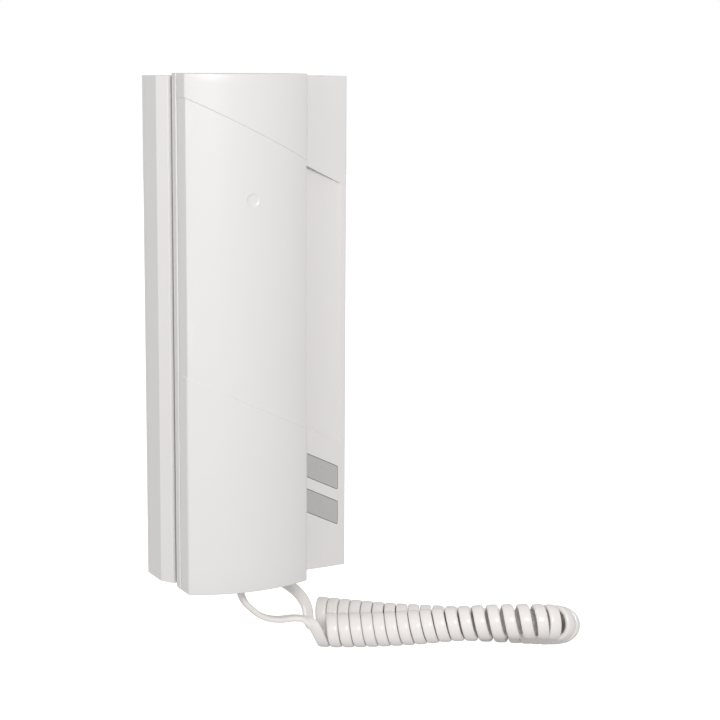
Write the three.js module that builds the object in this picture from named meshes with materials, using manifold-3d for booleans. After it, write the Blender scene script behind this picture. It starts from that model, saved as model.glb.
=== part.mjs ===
// Wall-hung door-entry telephone: a slim handset resting in the left of a wall base, two press
// buttons to its right, and a curly cord between the two.
// Millimetres, +Z up, +X to the viewer's right, -Y towards the viewer. The wall is the plane Y = 0,
// and the origin is the middle of the rear plate's wall face.
import * as THREE from 'three';
import { mergeVertices } from 'three/addons/utils/BufferGeometryUtils.js';
import Module from 'manifold-3d';

const wasm = await Module();
wasm.setup();

// ---- Driving dimensions -------------------------------------------------------------------------
const GAP = 0.3; // clearance between pieces that touch
const WALL = 2.2; // wall of the moulded base cover
const SHELL = 2; // wall of the handset shells

const BASE_W = 83.8;
const BASE_H = 215;
const PLATE_T = 2.4; // rear plate
const SIDE_D = 16; // depth of the base's left side
const FLOOR_Y = 19.6; // depth of the cradle floor that the handset lies over
const RIM_Y = 21.2; // depth of the low rim along the cradle's left
const BLOCK_Y = 26.4; // depth of the raised block at the right, at its inner edge
const BLOCK_FALL = 1.9; // how much shallower the block is at its outer edge

const BLOCK_W = 25; // width of the raised block
const HANDSET_SET_IN = 3; // how far the handset stands in from the base's left side
const HANDSET_OVER = 1.1; // how much higher than the base the handset reaches
const HANDSET_GAP = 0.7; // handset's back above the cradle floor
const PARTING_Y = 32; // depth of the seam between the two handset shells
const SEAM_STEP = 0.4; // how far the back shell's sides stand in from the front shell's at the seam
const EDGE_Y = 41.4; // depth of the front shell's side edges
const CROWN_Y = 48; // depth of the front shell at its middle
const CROWN_INSET = 0.3; // how far the front edges stand in from the widest line
const BLOCK_GAP = 0.8; // gap between the handset and the block

const SLOPE = -0.48; // fall of the two diagonal lines, per millimetre to the right
const LINE_FROM_TOP = 27; // upper diagonal below the base's top, at X = 0
const LINE_FROM_LOW = 74; // lower diagonal above the base's bottom, at X = 0
const ZONE_DEPTH = 0.5; // how far the handset's face is set back between the diagonals
const GRIP_DEPTH = 4.2; // finger recess in the block, at its inner edge
const GRIP_KNEE = 1.4; // width of the steeper strip where the recess rises to its end
const GRIP_KNEE_DEPTH = 0.8; // depth of the recess where that strip begins
const GRIP_BORDER = 2.6; // border between the finger recess and the base's right side
const BUTTON_BORDER = 4.1; // border between a button and the base's right side
const DIMPLE_R = 2.7;
const DIMPLE_DEPTH = 0.6;
const DIMPLE_FROM_TOP = 50; // dimple below the base's top

const LIFT_TAN = Math.tan(Math.PI / 6); // the bosses slope down to the wall at 30 degrees
const EAR_FROM_TOP = 38.6; // middle of the ear boss below the handset's top
const MOUTH_FROM_LOW = 37.5; // middle of the mouth boss above the handset's bottom
const BOSS_MARGIN = 9.5; // ear boss's edge to the handset's side
const MOUTH_R = 14;
const BOSS_D = 6.5; // how far the two bosses stand out of the handset's back
const WELL_GAP = 1.2; // clearance round a boss in its well

const BUTTON_INSET = 3.9; // buttons' left edge to the block's inner side
const BUTTON_H = 10.2;
const BUTTON_PITCH = 15.8;
const BUTTON_FROM_LOW = 63.1; // upper button's top edge above the base's bottom, at X = 0
const BUTTON_GAP = 0.4;
const BUTTON_TRAVEL = 1;

const BOARD_T = 1.6;
const BOARD_SET_IN = 4.9; // main board's left edge to the base's left side
const BOARD_UNDER_BLOCK = 6.1; // how far the main board reaches under the block
const BOARD_ABOVE_MOUTH = 26; // main board's lower edge above the middle of the mouth boss
const BOARD_BELOW_EAR = 30; // main board's upper edge below the middle of the ear boss
const POST_H = 5;
const SCREW_R = 0.8;

const PLUNGER_BELOW_EAR = 46; // hook plunger below the middle of the ear boss
const PLUNGER_R = 2.5;

const PLUG_W = 7.6;
const PLUG_D = 6.4;
const PLUG_L = 13;
const SOCKET_WALL = 1.5;
const PLUG_OUT = 2; // how far a plug stands out of its socket
const BASE_JACK_Y = -11;
const HANDSET_JACK_Y = -34;

const CORD_W = 5;
const CORD_T = 2.5;
const COIL_R = 7.5;

// Routes of the cord, each point chosen by hand: down out of the handset and round to the coil,
const HANDSET_LEAD = [
  [-12.3, -34, -109.8], [-12.3, -34, -110.8], [-11.9, -34, -112.6], [-10.2, -33.8, -116],
  [-7.1, -33.6, -119.4], [-3.4, -33.6, -122.6], [0.6, -33.6, -124.6], [6.2, -33.8, -125.8],
  [12.2, -34.4, -125.8], [16.6, -35.8, -126.4], [20, -37.8, -128.8],
];
// along the coil and back in a hairpin,
const COIL = [
  [28, -32.2, -133.8], [33, -35.2, -133.8], [45.8, -42.8, -133.1], [61, -52.3, -131.5],
  [76.2, -61.6, -129.3], [90.6, -70.8, -127.6], [103.5, -79, -126.7], [110.8, -82.9, -126.7],
  [116.9, -84, -127.8], [121.3, -80.6, -130.3], [121.6, -75, -132.8], [118, -70.3, -133.8],
  [111.5, -66, -133.8], [104, -60.9, -133.8], [90, -51.4, -133.8], [75, -41.2, -133.8],
  [60.4, -30.6, -133.8], [46.9, -18.4, -133.8], [35.6, -7.9, -133.8],
];
// and up into the base.
const BASE_LEAD = [
  [28.6, -14.8, -134.2], [28.7, -13.6, -130.6], [28, -12.2, -126.8], [25.2, -11.2, -122.4],
  [21.6, -11, -119], [17.4, -11, -115.9], [13.9, -11, -113.2], [12.3, -11, -111.4],
  [12, -11, -110.6], [12, -11, -109.8],
];

// ---- Shared values worked out from them ----------------------------------------------------------
const HALF_W = BASE_W / 2;
const HALF_H = BASE_H / 2;
const HANDSET_W = BASE_W - HANDSET_SET_IN - BLOCK_W - BLOCK_GAP;
const HANDSET_X = -HALF_W + HANDSET_SET_IN + HANDSET_W / 2; // middle of the handset
const COVER_BACK = -(PLATE_T + GAP);
const BACK_Y = -(FLOOR_Y + HANDSET_GAP); // the handset's flat back
const HANDSET_LOW = -HALF_H;
const HANDSET_TOP = HALF_H + HANDSET_OVER;
const LINE_TOP = HALF_H - LINE_FROM_TOP;
const LINE_LOW = -HALF_H + LINE_FROM_LOW;
const EDGE_HALF = HANDSET_W / 2 - CROWN_INSET;
const CROWN_R = (EDGE_HALF ** 2 + (CROWN_Y - EDGE_Y) ** 2) / (2 * (CROWN_Y - EDGE_Y));
const CROWN_CENTRE = CROWN_R - CROWN_Y;
const BLOCK_X = HALF_W - BLOCK_W;
const GRIP_END = HALF_W - GRIP_BORDER;
const BUTTON_X0 = BLOCK_X + BUTTON_INSET;
const BUTTON_X1 = HALF_W - BUTTON_BORDER;
const BUTTON_TOP = -HALF_H + BUTTON_FROM_LOW; // at X = 0
const EAR_Z = HANDSET_TOP - EAR_FROM_TOP;
const MOUTH_Z = HANDSET_LOW + MOUTH_FROM_LOW;
const EAR_R = HANDSET_W / 2 - BOSS_MARGIN;
const PLUNGER_Z = EAR_Z - PLUNGER_BELOW_EAR;
const BOSS_END = BACK_Y + BOSS_D;
const WELL_END = BOSS_END + WELL_GAP / 2;
const WELL_WALL = 1.8;
const POST_Y = -(PLATE_T + POST_H);
const BOARD_BACK = POST_Y - GAP;
const BOARD_FRONT = BOARD_BACK - BOARD_T;
const BOARD_X0 = -HALF_W + BOARD_SET_IN;
const BOARD_X1 = BLOCK_X + BOARD_UNDER_BLOCK;
const BOARD_Z0 = MOUTH_Z + BOARD_ABOVE_MOUTH;
const BOARD_Z1 = EAR_Z - BOARD_BELOW_EAR;
const FIX_IN = 4; // board screws to the board's edges
const PARTS_Y = BOARD_FRONT - GAP; // where what is soldered to the board begins
const SOCKET_Z0 = HANDSET_LOW + 0.5;
const SOCKET_L = PLUG_L + 1;
const JACK_ROOM = 0.5; // clearance round a plug inside its socket
// The base's jack lies across the base, the handset's along its depth.
const BASE_JACK = { x: BLOCK_X - 4.9, y: BASE_JACK_Y, wide: PLUG_W, deep: PLUG_D };
const HANDSET_JACK = { x: HANDSET_X - 0.9, y: HANDSET_JACK_Y, wide: PLUG_D, deep: PLUG_W };

// ---- Colours and finishes -------------------------------------------------------------------------
const FINISH = {
  white: { color: 0xebe8e6, roughness: 0.25, metalness: 0 },
  grey: { color: 0xb9b9b7, roughness: 0.45, metalness: 0 },
  cord: { color: 0xe5e1dc, roughness: 0.4, metalness: 0 },
  inner: { color: 0xd8d5d0, roughness: 0.6, metalness: 0 },
  board: { color: 0x2f6b45, roughness: 0.6, metalness: 0 },
  black: { color: 0x242426, roughness: 0.5, metalness: 0 },
  rubber: { color: 0x2b2b2d, roughness: 0.85, metalness: 0 },
  foam: { color: 0x5d5d60, roughness: 0.95, metalness: 0 },
  clear: { color: 0xd9dde0, roughness: 0.15, metalness: 0 },
  steel: { color: 0xb4b6b8, roughness: 0.35, metalness: 1 },
  brass: { color: 0xc2a35a, roughness: 0.35, metalness: 1 },
  green: { color: 0x3e8a5c, roughness: 0.5, metalness: 0 },
  wire: { color: 0xa83b34, roughness: 0.5, metalness: 0 },
};

// ---- Solids -----------------------------------------------------------------------------------------
/** A closed geometry as a solid that can be joined and cut. */
function solid(geometry) {
  const bare = geometry.clone();
  bare.deleteAttribute('normal');
  bare.deleteAttribute('uv');
  const merged = mergeVertices(bare, 1e-4);
  const vertProperties = new Float32Array(merged.attributes.position.array);
  const triVerts = new Uint32Array(merged.index.array);
  return new wasm.Manifold(new wasm.Mesh({ numProp: 3, vertProperties, triVerts }));
}

/** The solid's surface as a geometry. */
function surface(body) {
  const mesh = body.getMesh();
  const geometry = new THREE.BufferGeometry();
  geometry.setAttribute('position', new THREE.BufferAttribute(mesh.vertProperties, 3));
  geometry.setIndex(new THREE.BufferAttribute(mesh.triVerts, 1));
  geometry.computeVertexNormals();
  return geometry;
}

/** The first solid with the rest joined to it. */
function join(first, ...others) {
  return others.reduce((all, next) => all.add(next), first);
}

/** The first solid with the rest taken out of it. */
function cut(first, ...others) {
  return others.reduce((all, next) => all.subtract(next), first);
}

/** An upright prism: a plan outline of [x, y] points between two heights. */
function upright(points, z0, z1) {
  const shape = new THREE.Shape(points.map(([x, y]) => new THREE.Vector2(x, y)));
  const geometry = new THREE.ExtrudeGeometry(shape, { depth: z1 - z0, bevelEnabled: false });
  return solid(geometry.translate(0, 0, z0));
}

/** A prism seen from the front: an outline of [x, z] points between two depths, back first. */
function facing(points, yBack, yFront) {
  const shape = new THREE.Shape(points.map(([x, z]) => new THREE.Vector2(x, z)));
  const geometry = new THREE.ExtrudeGeometry(shape, { depth: yBack - yFront, bevelEnabled: false });
  return solid(geometry.rotateX(Math.PI / 2).translate(0, yBack, 0));
}

/** A box between two corners. */
function box(x0, x1, y0, y1, z0, z1) {
  const geometry = new THREE.BoxGeometry(x1 - x0, y1 - y0, z1 - z0);
  return solid(geometry.translate((x0 + x1) / 2, (y0 + y1) / 2, (z0 + z1) / 2));
}

/** A round rod along Y. */
function rodY(x, z, r, yBack, yFront, sides = 24) {
  const geometry = new THREE.CylinderGeometry(r, r, yBack - yFront, sides);
  return solid(geometry.translate(x, (yBack + yFront) / 2, z));
}

/** A round rod along X. */
function rodX(y, z, r, x0, x1, sides = 24) {
  const geometry = new THREE.CylinderGeometry(r, r, x1 - x0, sides).rotateZ(Math.PI / 2);
  return solid(geometry.translate((x0 + x1) / 2, y, z));
}

/** A round rod along Z. */
function rodZ(x, y, r, z0, z1, sides = 16) {
  const geometry = new THREE.CylinderGeometry(r, r, z1 - z0, sides).rotateX(Math.PI / 2);
  return solid(geometry.translate(x, y, (z0 + z1) / 2));
}

/** A round rod whose ends face the front and whose sides slope down to the wall as the lift does. */
function lifted(z, r, yBack, yFront, sides = 32) {
  const geometry = new THREE.CylinderGeometry(r, r, yBack - yFront, sides);
  geometry.translate(0, (yBack + yFront) / 2 - BACK_Y, 0);
  const slope = new THREE.Matrix4().set(1, 0, 0, 0, 0, 1, 0, 0, 0, -LIFT_TAN, 1, 0, 0, 0, 0, 1);
  return solid(geometry.applyMatrix4(slope).translate(HANDSET_X, BACK_Y, z));
}

/** What lies between two diagonals that fall to the right, as an upright prism of a plan outline. */
function diagonal(points, low, top) {
  const shape = new THREE.Shape(points.map(([x, y]) => new THREE.Vector2(x, y)));
  const geometry = new THREE.ExtrudeGeometry(shape, { depth: top - low, bevelEnabled: false });
  const slope = new THREE.Matrix4().set(1, 0, 0, 0, 0, 1, 0, 0, SLOPE, 0, 1, low, 0, 0, 0, 1);
  return solid(geometry.applyMatrix4(slope));
}

/** A smooth tube along a list of points, with an outline of its own. */
function along(points, outline, steps) {
  const path = new THREE.CatmullRomCurve3(points.map((p) => new THREE.Vector3(...p)), false, 'centripetal');
  const shape = new THREE.Shape(outline.map(([x, y]) => new THREE.Vector2(x, y)));
  return solid(new THREE.ExtrudeGeometry(shape, { steps, extrudePath: path }));
}

/** A regular outline stretched to a width and a height. */
function oval(width, height, sides) {
  const points = [];
  for (let i = 0; i < sides; i += 1) {
    const angle = (2 * Math.PI * (i + 0.5)) / sides;
    points.push([(width / 2) * Math.cos(angle), (height / 2) * Math.sin(angle)]);
  }
  return points;
}

const part = new THREE.Group();

/** Adds a solid to the model as a named mesh with its finish. */
function piece(name, body, finish) {
  const mesh = new THREE.Mesh(surface(body), new THREE.MeshStandardMaterial(FINISH[finish]));
  mesh.name = name;
  part.add(mesh);
}

// ---- Base ---------------------------------------------------------------------------------------------
/** Where the board's four screws go. */
function boardFixings() {
  const rows = [BOARD_Z0 + FIX_IN, BOARD_Z1 - FIX_IN];
  return rows.flatMap((z) => [BOARD_X0 + FIX_IN, BOARD_X1 - FIX_IN].map((x) => ({ x, z })));
}

const SLOT_X = HALF_W - 17.9;
const SLOT_Z = HALF_H - 11.5;
const SLOT_HALF_W = 4.5;
const SLOT_HALF_H = 2;
const HOOK_X = HALF_W - 15.9; // the two hooks that the cover hangs on
const HOOK_HALF_W = 5;
const HOOK_DEPTH = 8;
const POST_R = 3;
const ENTRY_X0 = -HALF_W + 13.9; // cable entry
const ENTRY_Z0 = -HALF_H + 41.5;
const ENTRY = { x0: ENTRY_X0, x1: ENTRY_X0 + 20, z0: ENTRY_Z0, z1: ENTRY_Z0 + 18 };
const LUG = { x: -HALF_W + 13.9, y: -9, r: 3.4, h: 7 }; // takes the cover's screw

/** Flat plate screwed to the wall, with board posts, wall slots, a cable entry and two top hooks. */
function rearPlate() {
  let plate = box(-HALF_W, HALF_W, -PLATE_T, 0, -HALF_H, HALF_H);
  for (const { x, z } of boardFixings()) {
    plate = plate.add(rodY(x, z, POST_R, -PLATE_T + 0.5, POST_Y, 16));
  }
  const inside = HALF_H - WALL - GAP;
  const lugTop = -inside + LUG.h;
  const lug = box(LUG.x - LUG.r, LUG.x + LUG.r, LUG.y - LUG.r, -PLATE_T + 0.5, -inside, lugTop);
  plate = plate.add(lug);
  for (const x of [-HOOK_X, HOOK_X]) {
    plate = plate.add(box(x - HOOK_HALF_W, x + HOOK_HALF_W, -HOOK_DEPTH, -PLATE_T + 0.5, inside - 2, inside));
  }
  plate = plate.subtract(rodZ(LUG.x, LUG.y, SCREW_R + 0.4, -inside - 1, lugTop - 1));
  for (const { x, z } of boardFixings()) {
    plate = plate.subtract(rodY(x, z, SCREW_R + 0.4, POST_Y + 4, POST_Y - 1, 12));
  }
  for (const x of [-SLOT_X, SLOT_X]) {
    for (const z of [-SLOT_Z, SLOT_Z]) {
      const slot = box(x - SLOT_HALF_W, x + SLOT_HALF_W, -PLATE_T - 1, 1, z - SLOT_HALF_H, z + SLOT_HALF_H);
      plate = plate.subtract(slot);
    }
  }
  return plate.subtract(box(ENTRY.x0, ENTRY.x1, -PLATE_T - 1, 1, ENTRY.z0, ENTRY.z1));
}

/** The block's front depth at a place across it, set back by an inset. */
function blockY(x, inset = 0) {
  const share = (x - BLOCK_X) / (HALF_W - BLOCK_X);
  return -(BLOCK_Y - BLOCK_FALL * share ** 1.6) + inset;
}

/** Plan outline of the cover: side, slanted flank, cradle floor, block. */
function coverOutline() {
  const points = [
    [-HALF_W, COVER_BACK], [-HALF_W + 0.3, -SIDE_D + 0.8], [-HALF_W + 0.8, -SIDE_D - 0.2],
    [-HALF_W + 3.4, -RIM_Y + 0.3], [-HALF_W + 3.9, -RIM_Y], [-HALF_W + 5, -RIM_Y],
    [-HALF_W + 6.9, -FLOOR_Y], [BLOCK_X, -FLOOR_Y], [BLOCK_X, blockY(BLOCK_X) + 0.6],
    [BLOCK_X + 0.6, blockY(BLOCK_X + 0.6)],
  ];
  for (let x = BLOCK_X + 6; x < HALF_W - 2; x += 6) {
    points.push([x, blockY(x)]);
  }
  points.push([HALF_W - 1, blockY(HALF_W - 1)], [HALF_W, blockY(HALF_W) + 1], [HALF_W, COVER_BACK]);
  return points;
}

/** Plan outline of the hollow behind the cover's walls, open to the wall side. */
function hollowOutline() {
  const points = [
    [-HALF_W + WALL, COVER_BACK + 1], [-HALF_W + WALL, -SIDE_D + 0.8], [-HALF_W + 5, -FLOOR_Y + WALL],
    [BLOCK_X + WALL, -FLOOR_Y + WALL], [BLOCK_X + WALL, blockY(BLOCK_X + WALL, WALL)],
  ];
  for (let x = BLOCK_X + 8; x < HALF_W - WALL - 2; x += 6) {
    points.push([x, blockY(x, WALL)]);
  }
  points.push([HALF_W - WALL, blockY(HALF_W - WALL, WALL)], [HALF_W - WALL, COVER_BACK + 1]);
  return points;
}

/** The finger recess in the block: a wedge, deepest next to the handset, with a steeper strip at its end. */
function gripRecess(extra) {
  const x0 = BLOCK_X - 1;
  const x1 = GRIP_END + extra;
  const knee = GRIP_END - GRIP_KNEE;
  const outline = [
    [x0, -BLOCK_Y - 3], [x1, -BLOCK_Y - 3], [x1, blockY(x1) + extra / 2],
    [knee, blockY(knee) + GRIP_KNEE_DEPTH + extra], [x0, blockY(BLOCK_X) + GRIP_DEPTH + extra],
  ];
  return diagonal(outline, LINE_LOW - extra, LINE_TOP + extra);
}

/** A button's outline, a parallelogram with upright sides, grown on every side by an amount. */
function buttonOutline(index, grow) {
  const top = BUTTON_TOP - index * BUTTON_PITCH + grow;
  const low = BUTTON_TOP - index * BUTTON_PITCH - BUTTON_H - grow;
  const x0 = BUTTON_X0 - grow;
  const x1 = BUTTON_X1 + grow;
  return [[x0, low + SLOPE * x0], [x1, low + SLOPE * x1], [x1, top + SLOPE * x1], [x0, top + SLOPE * x0]];
}

/** The outside of a socket, or an opening for one, grown by an amount. */
function socketBlock(jack, grow, z0, z1) {
  const halfX = jack.wide / 2 + JACK_ROOM + SOCKET_WALL + grow;
  const halfY = jack.deep / 2 + JACK_ROOM + SOCKET_WALL + grow;
  return box(jack.x - halfX, jack.x + halfX, jack.y - halfY, jack.y + halfY, z0, z1);
}

const KEY_BOARD_Y = -13; // front of the small board behind the buttons
const KEY_BOARD_MARGIN = 13.1; // key board's ends beyond the middles of the two buttons
const KEY_BOARD = {
  x0: BLOCK_X + 3.6, x1: HALF_W - 3.4,
  z0: buttonCentre(1).z - KEY_BOARD_MARGIN, z1: buttonCentre(0).z + KEY_BOARD_MARGIN,
};
const KEY_POST_X = (KEY_BOARD.x0 + KEY_BOARD.x1) / 2;
const KEY_POSTS = [[KEY_POST_X, KEY_BOARD.z1 - 3], [KEY_POST_X, KEY_BOARD.z0 + 2.7]];
const SOUNDER = { y: -13.2, z: HALF_H - 23.5, r: 8.4, x0: HALF_W - 11.3, x1: HALF_W - WALL - GAP };

/** Moulded front of the base. */
function baseCover() {
  const cradleEnd = HALF_H - WALL;
  let hollow = upright(hollowOutline(), -cradleEnd, cradleEnd);
  hollow = hollow.subtract(gripRecess(WALL));
  hollow = hollow.subtract(lifted(EAR_Z, EAR_R + WELL_GAP + WELL_WALL, WELL_END + WELL_WALL, -FLOOR_Y));
  hollow = hollow.subtract(lifted(MOUTH_Z, MOUTH_R + WELL_GAP + WELL_WALL, WELL_END + WELL_WALL, -FLOOR_Y));
  let cover = upright(coverOutline(), -HALF_H, HALF_H).subtract(hollow);
  for (const [x, z] of KEY_POSTS) {
    cover = cover.add(rodY(x, z, 2.4, KEY_BOARD_Y - GAP, blockY(x) + 1, 12));
    cover = cover.subtract(rodY(x, z, SCREW_R + 0.4, KEY_BOARD_Y + 1, KEY_BOARD_Y - 6, 10));
  }
  for (const side of [-1, 1]) {
    const z = SOUNDER.z + side * (SOUNDER.r + GAP + 0.8);
    cover = cover.add(box(SOUNDER.x0, HALF_W - 1, SOUNDER.y - 6, SOUNDER.y + 6, z - 0.8, z + 0.8));
  }
  for (let i = -2; i <= 2; i += 1) {
    const z = SOUNDER.z + i * 3;
    const slit = box(HALF_W - WALL - 1, HALF_W + 1, SOUNDER.y - 5, SOUNDER.y + 5, z - 0.7, z + 0.7);
    cover = cover.subtract(slit);
  }
  return cut(
    cover,
    gripRecess(0),
    lifted(EAR_Z, EAR_R + WELL_GAP, WELL_END, -FLOOR_Y - 3),
    lifted(MOUTH_Z, MOUTH_R + WELL_GAP, WELL_END, -FLOOR_Y - 3),
    facing(buttonOutline(0, BUTTON_GAP), KEY_BOARD_Y - 5, -BLOCK_Y - 2),
    facing(buttonOutline(1, BUTTON_GAP), KEY_BOARD_Y - 5, -BLOCK_Y - 2),
    rodY(HANDSET_X, PLUNGER_Z, PLUNGER_R + 0.5, -FLOOR_Y + WALL + 1, -FLOOR_Y - 1, 20),
    socketBlock(BASE_JACK, GAP, -HALF_H - 1, -HALF_H + WALL + 1),
    rodZ(LUG.x, LUG.y, SCREW_R + 0.6, -HALF_H - 1, -HALF_H + WALL + 1),
    rodZ(LUG.x, LUG.y, 2.6, -HALF_H - 1, -HALF_H + 0.9),
  );
}

/** A pan-head screw along Y, its head's top at the front. */
function screwY(x, z, underHead, length, headR = 2.4) {
  const head = rodY(x, z, headR, underHead, underHead - 1.6, 16);
  const slot = box(x - headR - 1, x + headR + 1, underHead - 2.6, underHead - 1, z - 0.35, z + 0.35);
  return join(head, rodY(x, z, SCREW_R, underHead + length, underHead - 0.5, 10)).subtract(slot);
}

/** The screw under the base that holds the cover to the plate. */
function coverScrew() {
  const seat = -HALF_H + 0.9 - GAP;
  const head = rodZ(LUG.x, LUG.y, 2.2, seat - 0.6, seat, 16);
  return join(head, rodZ(LUG.x, LUG.y, SCREW_R, seat - 0.3, seat + 7, 10));
}

/** Main circuit board. */
function mainBoard() {
  let board = box(BOARD_X0, BOARD_X1, BOARD_FRONT, BOARD_BACK, BOARD_Z0, BOARD_Z1);
  for (const { x, z } of boardFixings()) {
    board = board.subtract(rodY(x, z, SCREW_R + 0.5, BOARD_BACK + 1, BOARD_FRONT - 1, 12));
  }
  return board;
}

const TERMINALS = 5;
const TERMINAL_PITCH = 5;
const TERMINAL_Z = BOARD_Z0 + 11;
const TERMINAL_X = BOARD_X0 + 12;

/** Row of wire clamps for the riser cable: a mouth below and a screw hole in front of each. */
function terminalBlock() {
  const x0 = TERMINAL_X;
  const x1 = x0 + TERMINALS * TERMINAL_PITCH;
  let block = box(x0, x1, PARTS_Y - 6, PARTS_Y, TERMINAL_Z, TERMINAL_Z + 7.5);
  for (let i = 0; i < TERMINALS; i += 1) {
    const x = x0 + (i + 0.5) * TERMINAL_PITCH;
    block = block.subtract(box(x - 1.5, x + 1.5, PARTS_Y - 4, PARTS_Y - 1.2, TERMINAL_Z - 1, TERMINAL_Z + 5));
    block = block.subtract(rodY(x, TERMINAL_Z + 3.4, 1.7, PARTS_Y - 3, PARTS_Y - 7, 12));
  }
  return block;
}

/** One clamp screw of the terminal block. */
function terminalScrew(i) {
  const x = TERMINAL_X + (i + 0.5) * TERMINAL_PITCH;
  const z = TERMINAL_Z + 3.4;
  const slot = box(x - 2, x + 2, PARTS_Y - 6, PARTS_Y - 5.2, z - 0.25, z + 0.25);
  return rodY(x, z, 1.35, PARTS_Y - 3, PARTS_Y - 5.7, 12).subtract(slot);
}

const HOOK_FLOOR = PARTS_Y - 0.8;
const COLLAR_Y = PARTS_Y - 3.4; // back of the plunger's collar at rest

/** Cup on the board that guides the hook plunger and holds its spring. */
function hookSwitchBody() {
  const body = box(HANDSET_X - 6, HANDSET_X + 6, PARTS_Y - 6.2, PARTS_Y, PLUNGER_Z - 6, PLUNGER_Z + 6);
  return body.subtract(rodY(HANDSET_X, PLUNGER_Z, 4, HOOK_FLOOR, PARTS_Y - 7, 20));
}

/** Plunger that the handset holds down. */
function hookPlunger() {
  const tip = BACK_Y + GAP;
  const stem = rodY(HANDSET_X, PLUNGER_Z, PLUNGER_R, COLLAR_Y, tip + 0.8, 20);
  const cone = new THREE.CylinderGeometry(PLUNGER_R, 1.6, 0.8, 20);
  const nose = solid(cone.translate(HANDSET_X, tip + 0.4, PLUNGER_Z));
  return join(stem, nose, rodY(HANDSET_X, PLUNGER_Z, 3.5, COLLAR_Y, COLLAR_Y - 0.8, 20));
}

/** Compression spring behind the plunger's collar. */
function hookSpring() {
  const turns = 2.5;
  const steps = Math.round(turns * 12);
  const length = HOOK_FLOOR - GAP - (COLLAR_Y + GAP) - 0.5;
  const points = [];
  for (let i = 0; i <= steps; i += 1) {
    const angle = (2 * Math.PI * turns * i) / steps;
    const y = HOOK_FLOOR - GAP - 0.25 - (length * i) / steps;
    points.push([HANDSET_X + 2.6 * Math.cos(angle), y, PLUNGER_Z + 2.6 * Math.sin(angle)]);
  }
  return along(points, oval(0.5, 0.5, 6), steps);
}

/** Small board behind the buttons. */
function keyBoard() {
  const { x0, x1, z0, z1 } = KEY_BOARD;
  let board = box(x0, x1, KEY_BOARD_Y, KEY_BOARD_Y + BOARD_T, z0, z1);
  for (const [x, z] of KEY_POSTS) {
    board = board.subtract(rodY(x, z, SCREW_R + 0.4, KEY_BOARD_Y + BOARD_T + 1, KEY_BOARD_Y - 1, 12));
  }
  return board;
}

/** A screw that holds the key board to the cover, driven from the wall side. */
function keyBoardScrew([x, z]) {
  const under = KEY_BOARD_Y + BOARD_T + GAP;
  return join(rodY(x, z, 2.2, under + 1.4, under, 16), rodY(x, z, SCREW_R, under + 0.5, under - 6, 10));
}

/** Middle of a button. */
function buttonCentre(index) {
  const x = (BUTTON_X0 + BUTTON_X1) / 2;
  return { x, z: BUTTON_TOP - index * BUTTON_PITCH - BUTTON_H / 2 + SLOPE * x };
}

/** Momentary switch on the key board, behind one button. */
function keySwitch(index) {
  const { x, z } = buttonCentre(index);
  const back = KEY_BOARD_Y - GAP;
  return join(box(x - 3, x + 3, back - 3, back, z - 3, z + 3), rodY(x, z, 1.6, back - 2.5, back - 3.8, 16));
}

/** Button cap: sloping face, flange behind the cover, and a stem to its switch. */
function button(index) {
  const { x, z } = buttonCentre(index);
  const face = facing(buttonOutline(index, 0), -BLOCK_Y + 5.4, -BLOCK_Y - 2);
  const skin = [];
  for (let i = 0; i <= 4; i += 1) {
    const at = BUTTON_X0 - 1 + ((BUTTON_X1 - BUTTON_X0 + 2) * i) / 4;
    skin.push([at, blockY(at) - 0.3]);
  }
  skin.push([BUTTON_X1 + 1, -BLOCK_Y + 6], [BUTTON_X0 - 1, -BLOCK_Y + 6]);
  const cap = face.intersect(upright(skin, -HALF_H, 0));
  const flangeBack = -BLOCK_Y + 5.4;
  const flange = facing(buttonOutline(index, 1.1), flangeBack, flangeBack - 1.2);
  const stemEnd = KEY_BOARD_Y - GAP - 3.8 - BUTTON_TRAVEL - GAP;
  const mark = index === 0 ? rodY(x, z, 1.5, blockY(x) + 1, blockY(x) - 0.5, 20)
    : box(x - 0.6, x + 0.6, blockY(x) - 0.5, blockY(x) + 1, z - 2, z + 2);
  return join(cap, flange, rodY(x, z, 2, stemEnd, flangeBack - 0.5, 16), mark);
}

/** Round call sounder behind the slots in the base's right side. */
function callSounder() {
  const { y, z, r, x0, x1 } = SOUNDER;
  return join(rodX(y, z, r, x0 + 3, x1, 28), rodX(y, z, r * 0.62, x0, x1 - 1, 24));
}

/** Modular socket, open below. */
function socket(jack) {
  const low = SOCKET_Z0;
  const body = socketBlock(jack, 0, low, low + SOCKET_L + SOCKET_WALL);
  return body.subtract(socketBlock(jack, -SOCKET_WALL, low - 1, low + SOCKET_L));
}

/** Modular plug on the end of the cord: a body, a spring latch along one side, and a mouth for the cord. */
function plug(jack, turned) {
  const low = HANDSET_LOW - PLUG_OUT;
  const high = low + PLUG_L;
  const halfW = PLUG_W / 2;
  const halfD = PLUG_D / 2;
  const latchY = halfD - 0.3;
  const body = box(-halfW, halfW, -halfD + 0.9, halfD - 0.9, low, high);
  const root = box(-1.6, 1.6, 0, latchY, high - 3, high - 1);
  const latch = box(-1.6, 1.6, latchY - 0.3, latchY + 0.3, low + 1, high - 1);
  const mouthW = CORD_W / 2 + 0.1;
  const mouthD = CORD_T / 2 + 0.1;
  const mouth = box(-mouthW, mouthW, -mouthD, mouthD, low - 1, low + 4);
  return cut(join(body, root, latch), mouth).rotate([0, 0, turned]).translate([jack.x, jack.y, 0]);
}

/** Electrolytic capacitor standing on the main board. */
function capacitor(x, z) {
  return rodY(x, z, 3, PARTS_Y, PARTS_Y - 6.6, 20);
}

/** Flat package on the main board. */
function chip(x, z, w, h, tall) {
  return box(x - w / 2, x + w / 2, PARTS_Y - tall, PARTS_Y, z - h / 2, z + h / 2);
}

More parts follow.
